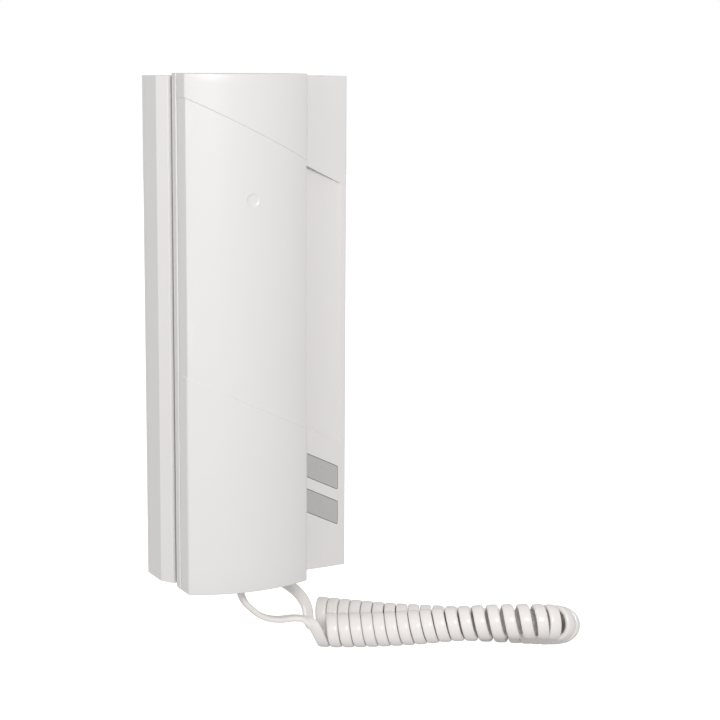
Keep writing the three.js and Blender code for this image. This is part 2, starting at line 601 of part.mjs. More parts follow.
piece('rear_plate', rearPlate(), 'white');
piece('base_cover', baseCover(), 'white');
piece('cover_screw', coverScrew(), 'steel');
piece('main_board', mainBoard(), 'board');
boardFixings().forEach(({ x, z }, i) => {
  piece(`board_screw_${i + 1}`, screwY(x, z, BOARD_FRONT - GAP, 4.6), 'steel');
});
piece('terminal_block', terminalBlock(), 'green');
for (let i = 0; i < TERMINALS; i += 1) {
  piece(`terminal_screw_${i + 1}`, terminalScrew(i), 'brass');
}
piece('hook_switch_body', hookSwitchBody(), 'black');
piece('hook_plunger', hookPlunger(), 'inner');
piece('hook_spring', hookSpring(), 'steel');
piece('speech_chip', chip(BOARD_X0 + 18, BOARD_Z0 + 22.1, 12, 6, 2.4), 'black');
piece('call_relay', chip(BOARD_X1 - 12, BOARD_Z1 - 29, 10, 16, 6.6), 'black');
piece('capacitor_1', capacitor(BOARD_X1 - 20, BOARD_Z0 + 31), 'black');
piece('capacitor_2', capacitor(BOARD_X1 - 11, BOARD_Z0 + 31), 'black');
const HEADER = { x: BOARD_X1 - 13, z: BOARD_Z0 + 8, w: 12, h: 5, tall: 4.6 };
piece('harness_header', chip(HEADER.x, HEADER.z, HEADER.w, HEADER.h, HEADER.tall), 'inner');
piece('key_board', keyBoard(), 'board');
KEY_POSTS.forEach((post, i) => piece(`key_board_screw_${i + 1}`, keyBoardScrew(post), 'steel'));
piece('call_key_switch', keySwitch(0), 'black');
piece('door_key_switch', keySwitch(1), 'black');
piece('call_button', button(0), 'grey');
piece('door_button', button(1), 'grey');
piece('call_sounder', callSounder(), 'black');
piece('base_socket', socket(BASE_JACK), 'black');
piece('base_plug', plug(BASE_JACK, 0), 'clear');

/** Round lead inside a casing. */
function innerLead(points, steps) {
  return along(points, oval(2, 2, 8), steps);
}

const JACK_TOP = SOCKET_Z0 + SOCKET_L + SOCKET_WALL;
piece('base_harness', innerLead([
  [BASE_JACK.x, BASE_JACK.y, JACK_TOP + GAP], [BASE_JACK.x, BASE_JACK.y, JACK_TOP + 3],
  [BASE_JACK.x, BASE_JACK.y + 3, JACK_TOP + 8],
  [BASE_JACK.x + 1, -5.6, JACK_TOP + 17], [BASE_JACK.x + 1, -5.6, BOARD_Z0 - 14],
  [HEADER.x, -9.6, BOARD_Z0 - 3],
  [HEADER.x, PARTS_Y - HEADER.tall / 2, HEADER.z - HEADER.h / 2 - GAP],
], 22), 'wire');

// ---- Handset --------------------------------------------------------------------------------------------
/** The crowned front line at an inset, from the left edge to the right. */
function crown(inset) {
  const half = EDGE_HALF - inset;
  const r = CROWN_R - inset;
  const points = [];
  for (let i = 0; i <= 12; i += 1) {
    const x = -half + (2 * half * i) / 12;
    points.push([HANDSET_X + x, CROWN_CENTRE - Math.sqrt(r * r - x * x)]);
  }
  return points;
}

/** Plan outline of the front shell at an inset, from a depth to the crown. */
function frontOutline(inset, yBack) {
  const half = HANDSET_W / 2 - inset;
  const turn = -PARTING_Y - 1;
  return [[HANDSET_X - half, yBack], [HANDSET_X - half, turn], ...crown(inset), [HANDSET_X + half, turn],
    [HANDSET_X + half, yBack]];
}

/** Plan outline of the back shell at an inset, from its flat back to a depth. */
function backOutline(inset, yFront) {
  const half = HANDSET_W / 2 - inset;
  const back = BACK_Y - inset;
  const seam = half - SEAM_STEP;
  return [[HANDSET_X - seam, yFront], [HANDSET_X - half, -26], [HANDSET_X - half + 1.5, back - 2.3],
    [HANDSET_X - half + 4, back], [HANDSET_X + half - 4, back], [HANDSET_X + half - 1.5, back - 2.3],
    [HANDSET_X + half, -26], [HANDSET_X + seam, yFront]];
}

const SHELL_SCREW_X = HANDSET_W / 2 - 8.5;
const SHELL_SCREWS = [
  [HANDSET_X, HANDSET_TOP - 10.6],
  [HANDSET_X - SHELL_SCREW_X, HANDSET_LOW + 11.5], [HANDSET_X + SHELL_SCREW_X, HANDSET_LOW + 11.5],
];
const POST_BACK = -25.6; // where the front shell's posts meet the back shell's

/** Front shell: crowned face, crisp edges, a face set back between the diagonals, and a dimple. */
function handsetFront() {
  const seam = -PARTING_Y - GAP / 2;
  let shell = upright(frontOutline(0, seam), HANDSET_LOW, HANDSET_TOP);
  shell = shell.subtract(upright(frontOutline(SHELL, seam + 2), HANDSET_LOW + SHELL, HANDSET_TOP - SHELL));
  for (const [x, z] of SHELL_SCREWS) {
    const crownY = CROWN_CENTRE - Math.sqrt(CROWN_R ** 2 - (x - HANDSET_X) ** 2);
    shell = shell.add(rodY(x, z, 3.2, POST_BACK - GAP, crownY + 1, 14));
    shell = shell.subtract(rodY(x, z, SCREW_R + 0.4, POST_BACK + 1, POST_BACK - 10, 10));
  }
  const room = 80;
  const around = [[-room, -room], [room, -room], [room, seam + 1], [-room, seam + 1]];
  const core = upright(frontOutline(ZONE_DEPTH, seam + 3), -HALF_H - 5, HALF_H + 5);
  const zone = diagonal(around, LINE_LOW, LINE_TOP).subtract(core);
  const dimpleFloor = -CROWN_Y + ZONE_DEPTH + DIMPLE_DEPTH;
  const dimple = rodY(HANDSET_X, HALF_H - DIMPLE_FROM_TOP, DIMPLE_R, dimpleFloor, -CROWN_Y - 1, 24);
  const mouth = socketBlock(HANDSET_JACK, GAP, HANDSET_LOW - 1, HANDSET_LOW + SHELL + 1);
  return cut(shell, zone, dimple, mouth);
}

/** The sound holes of a boss, a centre hole and a ring of them. */
function soundHoles(z, ringR, count) {
  const middle = z - LIFT_TAN * BOSS_D;
  const holes = [rodY(HANDSET_X, middle, 1, BOSS_END + 1, BOSS_END - SHELL - 1, 10)];
  for (let i = 0; i < count; i += 1) {
    const angle = (2 * Math.PI * i) / count;
    const x = HANDSET_X + ringR * Math.cos(angle);
    holes.push(rodY(x, middle + ringR * Math.sin(angle), 1, BOSS_END + 1, BOSS_END - SHELL - 1, 10));
  }
  return holes;
}

const BALLAST_HALF_W = HANDSET_W / 2 - 11.5;
const BALLAST = {
  x0: HANDSET_X - BALLAST_HALF_W, x1: HANDSET_X + BALLAST_HALF_W, z0: -24, z1: 30,
  back: BACK_Y - SHELL - 1.3, t: 5,
};
const BALLAST_FIXINGS = [[HANDSET_X, BALLAST.z0 + 6], [HANDSET_X, BALLAST.z1 - 6]];

/** Back shell, with the ear and mouth bosses that sit in the base's wells. */
function handsetBack() {
  const seam = -PARTING_Y + GAP / 2;
  let shell = upright(backOutline(0, seam), HANDSET_LOW, HANDSET_TOP);
  shell = shell.add(lifted(EAR_Z, EAR_R, BOSS_END, BACK_Y - 1));
  shell = shell.add(lifted(MOUTH_Z, MOUTH_R, BOSS_END, BACK_Y - 1));
  shell = shell.subtract(upright(backOutline(SHELL, seam - 2), HANDSET_LOW + SHELL, HANDSET_TOP - SHELL));
  shell = shell.subtract(lifted(EAR_Z, EAR_R - SHELL, BOSS_END - SHELL, BACK_Y - SHELL - 1));
  shell = shell.subtract(lifted(MOUTH_Z, MOUTH_R - SHELL, BOSS_END - SHELL, BACK_Y - SHELL - 1));
  for (const [x, z] of SHELL_SCREWS) {
    shell = shell.add(rodY(x, z, 4, BACK_Y - 1, POST_BACK, 16));
    shell = shell.subtract(rodY(x, z, 3, BACK_Y + 1, BACK_Y - 2.4, 16));
    shell = shell.subtract(rodY(x, z, SCREW_R + 0.5, BACK_Y, POST_BACK - 1, 10));
  }
  for (const [x, z] of BALLAST_FIXINGS) {
    shell = shell.add(rodY(x, z, 3, BACK_Y - 1, BALLAST.back + GAP, 14));
    shell = shell.subtract(rodY(x, z, SCREW_R + 0.3, BACK_Y - 0.8, BALLAST.back - 1, 10));
  }
  const mouth = socketBlock(HANDSET_JACK, GAP, HANDSET_LOW - 1, HANDSET_LOW + SHELL + 1);
  return cut(shell, mouth, ...soundHoles(EAR_Z, 4.5, 6), ...soundHoles(MOUTH_Z, 3.5, 4));
}

/** A screw that closes the two shells, its head sunk in the handset's back. */
function shellScrew([x, z]) {
  const under = BACK_Y - 2.4 + GAP;
  return join(rodY(x, z, 2.4, under + 1.5, under, 16), rodY(x, z, SCREW_R, under + 0.5, POST_BACK - 8, 10));
}

const EAR_SEAT = BOSS_END - SHELL - GAP;
const EAR_MID = EAR_Z - LIFT_TAN * 2.4;
const CAPSULE_R = EAR_R - 5.2;
// Where the earpiece's wires are soldered to it.
const EAR_TAP = { side: 0.235 * CAPSULE_R, down: 0.39 * CAPSULE_R };

/** Foam ring between the earpiece and the wall with its sound holes. */
function earpieceGasket() {
  const z = EAR_Z - LIFT_TAN * (BOSS_D - SHELL);
  const ring = rodY(HANDSET_X, z, CAPSULE_R - 1.8, EAR_SEAT, EAR_SEAT - 0.9, 28);
  return ring.subtract(rodY(HANDSET_X, z, CAPSULE_R - 5.4, EAR_SEAT + 1, EAR_SEAT - 2, 24));
}

/** Receiver capsule. */
function earpieceCapsule() {
  const front = EAR_SEAT - 0.9 - GAP;
  const rim = rodY(HANDSET_X, EAR_MID, CAPSULE_R, front, front - 2.6, 32);
  return join(rim, rodY(HANDSET_X, EAR_MID, CAPSULE_R - 2.4, front - 2, front - 6, 28));
}

/** Steel plate that gives the handset its weight. */
function ballastWeight() {
  const { x0, x1, z0, z1, back, t } = BALLAST;
  let plate = box(x0, x1, back - t, back, z0, z1);
  for (const [x, z] of BALLAST_FIXINGS) {
    plate = plate.subtract(rodY(x, z, SCREW_R + 0.5, back + 1, back - t - 1, 12));
  }
  return plate;
}

const MIC_SEAT = BOSS_END - SHELL - GAP;
const MIC_MID = MOUTH_Z - LIFT_TAN * 3.4;

/** Rubber cup round the microphone. */
function microphoneBoot() {
  const cup = rodY(HANDSET_X, MIC_MID, 7, MIC_SEAT, MIC_SEAT - 7.4, 28);
  const bore = rodY(HANDSET_X, MIC_MID, 5.2, MIC_SEAT - 1, MIC_SEAT - 8.4, 24);
  return cut(cup, bore, rodY(HANDSET_X, MIC_MID, 3, MIC_SEAT + 1, MIC_SEAT - 2, 20));
}

/** Electret microphone. */
function microphoneCapsule() {
  return rodY(HANDSET_X, MIC_MID, 4.85, MIC_SEAT - 1.3, MIC_SEAT - 6.2, 24);
}

piece('handset_front', handsetFront(), 'white');
piece('handset_back', handsetBack(), 'white');
SHELL_SCREWS.forEach((at, i) => piece(`handset_screw_${i + 1}`, shellScrew(at), 'steel'));
piece('earpiece_gasket', earpieceGasket(), 'foam');
piece('earpiece_capsule', earpieceCapsule(), 'black');
piece('microphone_boot', microphoneBoot(), 'rubber');
piece('microphone_capsule', microphoneCapsule(), 'steel');
piece('ballast_weight', ballastWeight(), 'steel');
BALLAST_FIXINGS.forEach(([x, z], i) => {
  piece(`ballast_screw_${i + 1}`, screwY(x, z, BALLAST.back - BALLAST.t - GAP, 6.4), 'steel');
});
piece('handset_socket', socket(HANDSET_JACK), 'black');
piece('handset_plug', plug(HANDSET_JACK, 90), 'clear');
piece('earpiece_wires', innerLead([
  [HANDSET_JACK.x + 3, HANDSET_JACK.y, JACK_TOP + GAP],
  [HANDSET_JACK.x + 5, HANDSET_JACK.y - 1, JACK_TOP + 11.5],
  [HANDSET_X + 9, -37, JACK_TOP + 51.5], [HANDSET_X + 9, -37, EAR_Z - 50],
  [HANDSET_X + 5, -33, EAR_Z - 16],
  [HANDSET_X + EAR_TAP.side + 1, -28, EAR_MID - EAR_TAP.down - 1],
  [HANDSET_X + EAR_TAP.side, EAR_SEAT - 0.9 - 2 * GAP - 6.2, EAR_MID - EAR_TAP.down],
], 30), 'wire');
piece('microphone_wires', innerLead([
  [HANDSET_JACK.x - 1.5, HANDSET_JACK.y, JACK_TOP + GAP],
  [HANDSET_JACK.x - 1, HANDSET_JACK.y + 1, JACK_TOP + 5.5],
  [HANDSET_X, -29, MIC_MID - 5], [HANDSET_X, -26, MIC_MID - 0.6],
  [HANDSET_X, MIC_SEAT - 6.2 - 2 * GAP, MIC_MID],
], 14), 'wire');

// ---- Cord -----------------------------------------------------------------------------------------------
piece('handset_lead', along(HANDSET_LEAD, oval(CORD_W, CORD_T, 8), 12), 'cord');
piece('cord_coil', along(COIL, oval(2 * COIL_R, 2 * COIL_R, 12), 44), 'cord');
piece('base_lead', along(BASE_LEAD, oval(CORD_W, CORD_T, 8), 12), 'cord');

export default part;
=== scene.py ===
import math
import bmesh
import bpy
from mathutils import Matrix, Vector


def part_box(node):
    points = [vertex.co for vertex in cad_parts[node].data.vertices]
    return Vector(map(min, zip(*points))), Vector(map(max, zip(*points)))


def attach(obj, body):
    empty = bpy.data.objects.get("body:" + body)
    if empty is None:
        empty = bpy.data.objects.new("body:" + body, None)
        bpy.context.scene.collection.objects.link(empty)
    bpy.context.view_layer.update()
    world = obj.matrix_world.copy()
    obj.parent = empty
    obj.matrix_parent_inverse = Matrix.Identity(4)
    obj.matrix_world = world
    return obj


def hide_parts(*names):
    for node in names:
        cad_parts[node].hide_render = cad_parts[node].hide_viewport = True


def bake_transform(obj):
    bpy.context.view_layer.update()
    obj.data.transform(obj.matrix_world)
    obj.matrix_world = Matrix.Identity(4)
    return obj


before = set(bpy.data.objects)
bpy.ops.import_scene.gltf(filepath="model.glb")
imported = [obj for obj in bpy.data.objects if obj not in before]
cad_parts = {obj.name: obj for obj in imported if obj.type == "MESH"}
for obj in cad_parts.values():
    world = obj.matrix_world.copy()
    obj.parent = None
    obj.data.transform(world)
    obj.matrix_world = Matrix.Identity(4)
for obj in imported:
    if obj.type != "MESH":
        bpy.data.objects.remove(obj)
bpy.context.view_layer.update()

# ---- Rear plate ---------------------------------------------------------------------------------
# Flat moulded plate that two or four screws hold to the wall. White ABS with a fine tooled skin;
# the posts for the circuit board, the lug for the cover's screw and the two top hooks are its own.
MM = 0.001
WHITE_ABS = (0.710, 0.692, 0.682)
PLATE_EDGE = 0.7
CLOUD_SCALE = 45
WEAR_SCALE = 120
SKIN_SCALE = 2600
SKIN_DEPTH = 0.03 * MM
WELD = 0.002


def moulded(name, colour, roughness, grain, dust=0.5):
    """Moulded plastic: faintly cloudy colour, convex edges made paler by a painted highlight,
    uneven gloss and a tooled skin.
    """
    made = bpy.data.materials.new(name)
    made.use_nodes = True
    nodes, links = made.node_tree.nodes, made.node_tree.links
    shader = nodes["Principled BSDF"]
    place = nodes.new("ShaderNodeTexCoord")

    def noise(scale, detail):
        """A fine noise laid in the piece's own space."""
        texture = nodes.new("ShaderNodeTexNoise")
        texture.inputs["Scale"].default_value = scale
        texture.inputs["Detail"].default_value = detail
        links.new(place.outputs["Object"], texture.inputs["Vector"])
        return texture.outputs["Fac"]

    tint = nodes.new("ShaderNodeValToRGB")
    tint.color_ramp.elements[0].position = 0.3
    tint.color_ramp.elements[0].color = (*[c * (1 - 0.01 * dust) for c in colour], 1)
    tint.color_ramp.elements[1].position = 0.7
    tint.color_ramp.elements[1].color = (*[min(1, c * 1.003) for c in colour], 1)
    links.new(noise(CLOUD_SCALE, 4), tint.inputs["Fac"])
    # Painted highlight: convex edges, found by their pointiness, are made up to 2.5% paler in
    # colour.
    shape = nodes.new("ShaderNodeNewGeometry")
    painted_edge_highlight = nodes.new("ShaderNodeMapRange")
    painted_edge_highlight.inputs["From Min"].default_value = 0.52
    painted_edge_highlight.inputs["From Max"].default_value = 0.60
    painted_edge_highlight.inputs["To Max"].default_value = 0.5
    links.new(shape.outputs["Pointiness"], painted_edge_highlight.inputs["Value"])
    edge = nodes.new("ShaderNodeMix")
    edge.data_type = "RGBA"
    edge.inputs["B"].default_value = (*[min(1, c * 1.05) for c in colour], 1)
    links.new(painted_edge_highlight.outputs["Result"], edge.inputs["Factor"])
    links.new(tint.outputs["Color"], edge.inputs["A"])
    links.new(edge.outputs["Result"], shader.inputs["Base Color"])
    gloss = nodes.new("ShaderNodeMapRange")
    gloss.inputs["To Min"].default_value = roughness - 0.02
    gloss.inputs["To Max"].default_value = roughness + 0.03
    links.new(noise(WEAR_SCALE, 6), gloss.inputs["Value"])
    links.new(gloss.outputs["Result"], shader.inputs["Roughness"])
    bump = nodes.new("ShaderNodeBump")
    bump.inputs["Strength"].default_value = grain
    bump.inputs["Distance"].default_value = SKIN_DEPTH
    links.new(noise(SKIN_SCALE, 3), bump.inputs["Height"])
    links.new(bump.outputs["Normal"], shader.inputs["Normal"])
    return made


def as_object(name, mesh, finish):
    """A mesh as an object of the scene, with its finish."""
    piece = bpy.data.objects.new(name, mesh)
    bpy.context.scene.collection.objects.link(piece)
    mesh.materials.clear()
    mesh.materials.append(finish)
    return piece


def merged_copy(name, node, finish):
    """A CAD node's mesh with its loose triangles welded and its flat faces joined again."""
    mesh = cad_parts[node].data.copy()
    shape = bmesh.new()
    shape.from_mesh(mesh)
    bmesh.ops.remove_doubles(shape, verts=shape.verts, dist=WELD * MM)
    flat_within = math.radians(1)
    bmesh.ops.dissolve_limit(shape, angle_limit=flat_within, verts=shape.verts, edges=shape.edges)
    shape.to_mesh(mesh)
    shape.free()
    return as_object(name, mesh, finish)


def settle(piece):
    """The piece with its modifiers made part of its mesh."""
    view = bpy.context.evaluated_depsgraph_get()
    mesh = bpy.data.meshes.new_from_object(piece.evaluated_get(view))
    piece.modifiers.clear()
    piece.data = mesh
    return piece


def soften(piece, width, sharper_than=28, segments=2):
    """Rounds every edge sharper than an angle, as a mould does, and shades the rest smooth."""
    bevel = piece.modifiers.new("soft edges", "BEVEL")
    bevel.width = width * MM
    bevel.segments = segments
    bevel.limit_method = "ANGLE"
    bevel.angle_limit = math.radians(sharper_than)
    bevel.harden_normals = True
    bevel.miter_outer = "MITER_ARC"
    flat = piece.modifiers.new("flat faces", "WEIGHTED_NORMAL")
    flat.mode = "FACE_AREA"
    flat.keep_sharp = False
    for face in piece.data.polygons:
        face.use_smooth = True
    return settle(piece)


shell_white = moulded("white_abs", WHITE_ABS, 0.34, 0.25)
plate = soften(merged_copy("wall_plate", "rear_plate", shell_white), PLATE_EDGE, segments=3)
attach(plate, "root")
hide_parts("rear_plate")

# ---- Base cover ---------------------------------------------------------------------------------
# Moulded front of the base, in the same white ABS: a slanted flank and low rim at the left, the
# cradle floor with its two wells, and the raised block with the finger recess and button holes.
cover_low, cover_high = (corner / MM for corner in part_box("base_cover"))
HALF_WIDTH = cover_high.x
HALF_HEIGHT = cover_high.z
COVER_BACK = cover_high.y
COVER_WALL = 2.2
COVER_EDGE = 0.3
SIDE_DEPTH = 16
FLOOR_DEPTH = 19.6
RIM_DEPTH = 21.2
RIM_FROM = 3.55
RIM_TO = 5
FLOOR_FROM = 6.9
BLOCK_DEPTH = -cover_low.y
BLOCK_FALL = 1.9
BLOCK_LEFT = HALF_WIDTH - 25
SLOPE = -0.48
LINE_TOP = HALF_HEIGHT - 27
LINE_LOW = -HALF_HEIGHT + 74
RECESS_DEPTH = 4.2
RECESS_END = HALF_WIDTH - 2.6
RECESS_KNEE = 1.4
RECESS_KNEE_DEPTH = 0.8
RECESS_ROUND = 1.2
BUTTON_LEFT = BLOCK_LEFT + 3.9
BUTTON_RIGHT = HALF_WIDTH - 4.1
BUTTON_TALL = 10.2
BUTTON_PITCH = 15.8
BUTTON_TOP = -HALF_HEIGHT + 63.1
BUTTON_GAP = 0.24
BUTTON_CORNER = 0.5
LIFT_TAN = math.tan(math.radians(30))
handset_low, handset_high = (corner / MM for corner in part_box("handset_back"))
HANDSET_MIDDLE = (handset_low.x + handset_high.x) / 2
HANDSET_BACK = -FLOOR_DEPTH - 0.7
EAR_HEIGHT = handset_high.z - 38.6
MOUTH_HEIGHT = handset_low.z + 37.5
EAR_RADIUS = (handset_high.x - handset_low.x) / 2 - 9.5
MOUTH_RADIUS = 14
BOSS_END = handset_high.y
WELL_GAP = 1.2
WELL_END = BOSS_END + WELL_GAP / 2
WELL_WALL = 1.8
PLUNGER_HEIGHT = EAR_HEIGHT - 46
KEY_BOARD_FRONT = -13
SLIT_COUNT = 5
SLIT_PITCH = 3
SLIT_TALL = 1.4
SLIT_LONG = 10
SLIT_CORNER = 0.65
SOCKET_GAP = 0.3
FIXING_HOLE = 1.4
FIXING_SEAT = 2.6
FIXING_SINK = 0.9
PLUNGER_HOLE = 3
TURN_SEED = 7
AS_MADE = (0, 0, 0)


def rounded(corners, steps=6):
    """An outline whose corners, each a place and a radius, are turned into arcs."""
    outline = []
    for i, (x, y, radius) in enumerate(corners):
        here = Vector((x, y))
        before = (Vector(corners[i - 1][:2]) - here).normalized()
        after = (Vector(corners[(i + 1) % len(corners)][:2]) - here).normalized()
        if radius == 0 or abs(before.dot(after)) > 0.9999:
            outline.append((x, y))
            continue
        half = before.angle(after) / 2
        middle = here + (before + after).normalized() * radius / math.sin(half)
        first = here + before * radius / math.tan(half) - middle
        last = here + after * radius / math.tan(half) - middle
        sweep = first.angle_signed(last)
        count = max(2, round(steps * abs(sweep) / (math.pi / 2)))
        for k in range(count + 1):
            turned = Matrix.Rotation(-sweep * k / count, 2) @ first
            outline.append(tuple(middle + turned))
    return outline


def scratch(name, shape):
    """A bmesh as an object that other solids are joined to or cut with, in millimetres."""
    bmesh.ops.recalc_face_normals(shape, faces=shape.faces)
    mesh = bpy.data.meshes.new(name)
    shape.to_mesh(mesh)
    shape.free()
    piece = bpy.data.objects.new(name, mesh)
    bpy.context.scene.collection.objects.link(piece)
    return piece


def prism(outline, low, high, place):
    """A solid between two levels over an outline; place turns (u, v, level) into a point."""
    shape = bmesh.new()
    floor = [shape.verts.new(place(u, v, low)) for u, v in outline]
    lid = [shape.verts.new(place(u, v, high)) for u, v in outline]
    shape.faces.new(floor)
    shape.faces.new(lid)
    for i, corner in enumerate(floor):
        k = (i + 1) % len(floor)
        shape.faces.new((corner, floor[k], lid[k], lid[i]))
    return scratch("solid", shape)


def upright(outline, low, high, slope=0):
    """A prism over a plan outline, its ends falling to the right by a slope."""
    return prism(outline, low, high, lambda x, y, z: (x, y, z + slope * x))


def facing(outline, back, front):
    """A prism over an outline seen from the front."""
    return prism(outline, back, front, lambda x, z, y: (x, y, z))


def block(x0, x1, y0, y1, z0, z1):
    """A box between two corners."""
    return upright([(x0, y0), (x1, y0), (x1, y1), (x0, y1)], z0, z1)


def round_cornered(x, y, across, tall, corner):
    """A rectangle about a point, given by its half sizes, with rounded corners."""
    return rounded([(x - across, y - tall, corner), (x + across, y - tall, corner),
                    (x + across, y + tall, corner), (x - across, y + tall, corner)])


def circle(x, y, radius, sides):
    """A round outline."""
    turns = [2 * math.pi * i / sides for i in range(sides)]
    return [(x + radius * math.cos(t), y + radius * math.sin(t)) for t in turns]


def lifted(height, radius, back, front, sides=72):
    """A round boss or well whose sides slope down to the wall, the way the handset lifts off."""
    ring = circle(HANDSET_MIDDLE, height, radius, sides)
    return prism(ring, back, front, lambda x, z, y: (x, y, z - LIFT_TAN * (y - HANDSET_BACK)))


def shaped(body, cuts=(), joins=(), keep=None):
    """A solid with others joined to it, others cut out of it, and only what lies in one kept."""
    kept = [keep] if keep else []
    for how, tools in (("UNION", joins), ("DIFFERENCE", cuts), ("INTERSECT", kept)):
        for tool in tools:
            step = body.modifiers.new(how, "BOOLEAN")
            step.operation = how
            step.object = tool
            step.solver = "EXACT"
    settle(body)
    for tool in [*joins, *cuts, *kept]:
        bpy.data.objects.remove(tool)
    return body


def finished(piece, name, finish, edge, segments=2):
    """The solid as a piece of the object: welded, its edges softened, and in metres."""
    shape = bmesh.new()
    shape.from_mesh(piece.data)
    bmesh.ops.remove_doubles(shape, verts=shape.verts, dist=WELD)
    bmesh.ops.dissolve_degenerate(shape, edges=shape.edges, dist=WELD)
    flat_within = math.radians(0.5)
    bmesh.ops.dissolve_limit(shape, angle_limit=flat_within, verts=shape.verts, edges=shape.edges)
    shape.to_mesh(piece.data)
    shape.free()
    piece.name = name
    soften(piece, edge / MM, segments=segments)
    piece.data.transform(Matrix.Scale(MM, 4))
    piece.data.name = name
    piece.data.materials.clear()
    piece.data.materials.append(finish)
    return piece


def socket_mouth(low, high, end, wall):
    """The opening for a cord's socket through the lower end of a shell."""
    return block(low.x - SOCKET_GAP, high.x + SOCKET_GAP, low.y - SOCKET_GAP, high.y + SOCKET_GAP,
                 end - 1, end + wall + 1)


def block_front(x):
    """The block's front at a place across it."""
    across = max(0, (x - BLOCK_LEFT) / (HALF_WIDTH - BLOCK_LEFT))
    return -(BLOCK_DEPTH - BLOCK_FALL * across ** 1.6)


def block_curve(x0, x1, inset=0, steps=12):
    """The block's front line between two places, set back by an inset."""
    across = [x0 + (x1 - x0) * i / steps for i in range(steps + 1)]
    return [(x, block_front(x) + inset, 0) for x in across]


def recess(extra):
    """The finger recess: a wedge, deepest beside the handset, with a steeper strip at its end."""
    knee, end = RECESS_END - RECESS_KNEE, RECESS_END + extra
    left, over = BLOCK_LEFT - 1, -BLOCK_DEPTH - 3
    outline = rounded([
        (left, over, 0), (end, over, 0), (end, block_front(end) + extra / 2, 0),
        (knee, block_front(knee) + RECESS_KNEE_DEPTH + extra, RECESS_ROUND),
        (left, block_front(BLOCK_LEFT) + RECESS_DEPTH + extra, 0),
    ])
    return upright(outline, LINE_LOW - extra, LINE_TOP + extra, SLOPE)


def button_outline(index, grow):
    """A button seen from the front: upright sides, ends that fall with the diagonals."""
    top = BUTTON_TOP - index * BUTTON_PITCH + grow
    low = top - BUTTON_TALL - 2 * grow
    left, right = BUTTON_LEFT - grow, BUTTON_RIGHT + grow
    corners = ((left, low), (right, low), (right, top), (left, top))
    return rounded([(x, z + SLOPE * x, BUTTON_CORNER) for x, z in corners], steps=4)


def laid_on_points(name, finish):
    """A node tree that lays one pattern on every point, turned by chance, joined into one mesh."""
    tree = bpy.data.node_groups.new(name, "GeometryNodeTree")
    for label, kind in (("Points", "NodeSocketGeometry"), ("Pattern", "NodeSocketObject"),
                        ("Facing", "NodeSocketRotation"), ("Most turn", "NodeSocketFloat"),
                        ("Seed", "NodeSocketInt")):
        tree.interface.new_socket(label, in_out="INPUT", socket_type=kind)
    tree.interface.new_socket("Laid", in_out="OUTPUT", socket_type="NodeSocketGeometry")
    given, result = tree.nodes.new("NodeGroupInput"), tree.nodes.new("NodeGroupOutput")
    pattern = tree.nodes.new("GeometryNodeObjectInfo")
    lay = tree.nodes.new("GeometryNodeInstanceOnPoints")
    chance = tree.nodes.new("FunctionNodeRandomValue")
    chance.data_type = "FLOAT"
    spin = tree.nodes.new("GeometryNodeRotateInstances")
    about = tree.nodes.new("ShaderNodeCombineXYZ")
    join = tree.nodes.new("GeometryNodeRealizeInstances")
    coat = tree.nodes.new("GeometryNodeSetMaterial")
    coat.inputs["Material"].default_value = finish
    most, drawn = chance.inputs[3], chance.outputs[1]
    for start, end in (
        (given.outputs["Pattern"], pattern.inputs["Object"]),
        (given.outputs["Points"], lay.inputs["Points"]),
        (pattern.outputs["Geometry"], lay.inputs["Instance"]),
        (given.outputs["Facing"], lay.inputs["Rotation"]),
        (given.outputs["Most turn"], most),
        (given.outputs["Seed"], chance.inputs["Seed"]),
        (drawn, about.inputs["Z"]),
        (lay.outputs["Instances"], spin.inputs["Instances"]),
        (about.outputs["Vector"], spin.inputs["Rotation"]),
        (spin.outputs["Instances"], join.inputs["Geometry"]),
        (join.outputs["Geometry"], coat.inputs["Geometry"]),
        (coat.outputs["Geometry"], result.inputs["Laid"]),
    ):
        tree.links.new(start, end)
    return tree


def lay(name, places, pattern, facing_turn, most_turn, tree):
    """The tree run on a set of places, as one plain mesh."""
    mesh = bpy.data.meshes.new(name)
    mesh.from_pydata(places, [], [])
    piece = bpy.data.objects.new(name, mesh)
    bpy.context.scene.collection.objects.link(piece)
    step = piece.modifiers.new("laid", "NODES")
    step.node_group = tree
    values = {"Pattern": pattern, "Facing": facing_turn, "Most turn": most_turn,
              "Seed": TURN_SEED}
    for socket in tree.interface.items_tree:
        if socket.in_out == "INPUT" and socket.name in values:
            step[socket.identifier] = values[socket.name]
    settle(piece)
    bpy.data.objects.remove(pattern)
    return piece


cover_plan = rounded([
    (-HALF_WIDTH, COVER_BACK, 0), (-HALF_WIDTH + 0.35, -SIDE_DEPTH + 0.1, 0.9),
    (-HALF_WIDTH + RIM_FROM, -RIM_DEPTH, 0.6), (-HALF_WIDTH + RIM_TO, -RIM_DEPTH, 0.6),
    (-HALF_WIDTH + FLOOR_FROM, -FLOOR_DEPTH, 0.7), (BLOCK_LEFT, -FLOOR_DEPTH, 0.6),
    (BLOCK_LEFT, -BLOCK_DEPTH, 0.8), *block_curve(BLOCK_LEFT + 2, HALF_WIDTH - 2),
    (HALF_WIDTH, block_front(HALF_WIDTH), 1.0), (HALF_WIDTH, COVER_BACK, 0),
])
inner = HALF_WIDTH - COVER_WALL
hollow_plan = [
    (-inner, COVER_BACK + 1), (-inner, -SIDE_DEPTH + 0.8),
    (-inner + 2.8, -FLOOR_DEPTH + COVER_WALL), (BLOCK_LEFT + COVER_WALL, -FLOOR_DEPTH + COVER_WALL),
    *[(x, y) for x, y, _ in block_curve(BLOCK_LEFT + COVER_WALL, inner, COVER_WALL)],
    (inner, COVER_BACK + 1),
]
well_reach = WELL_END + WELL_WALL
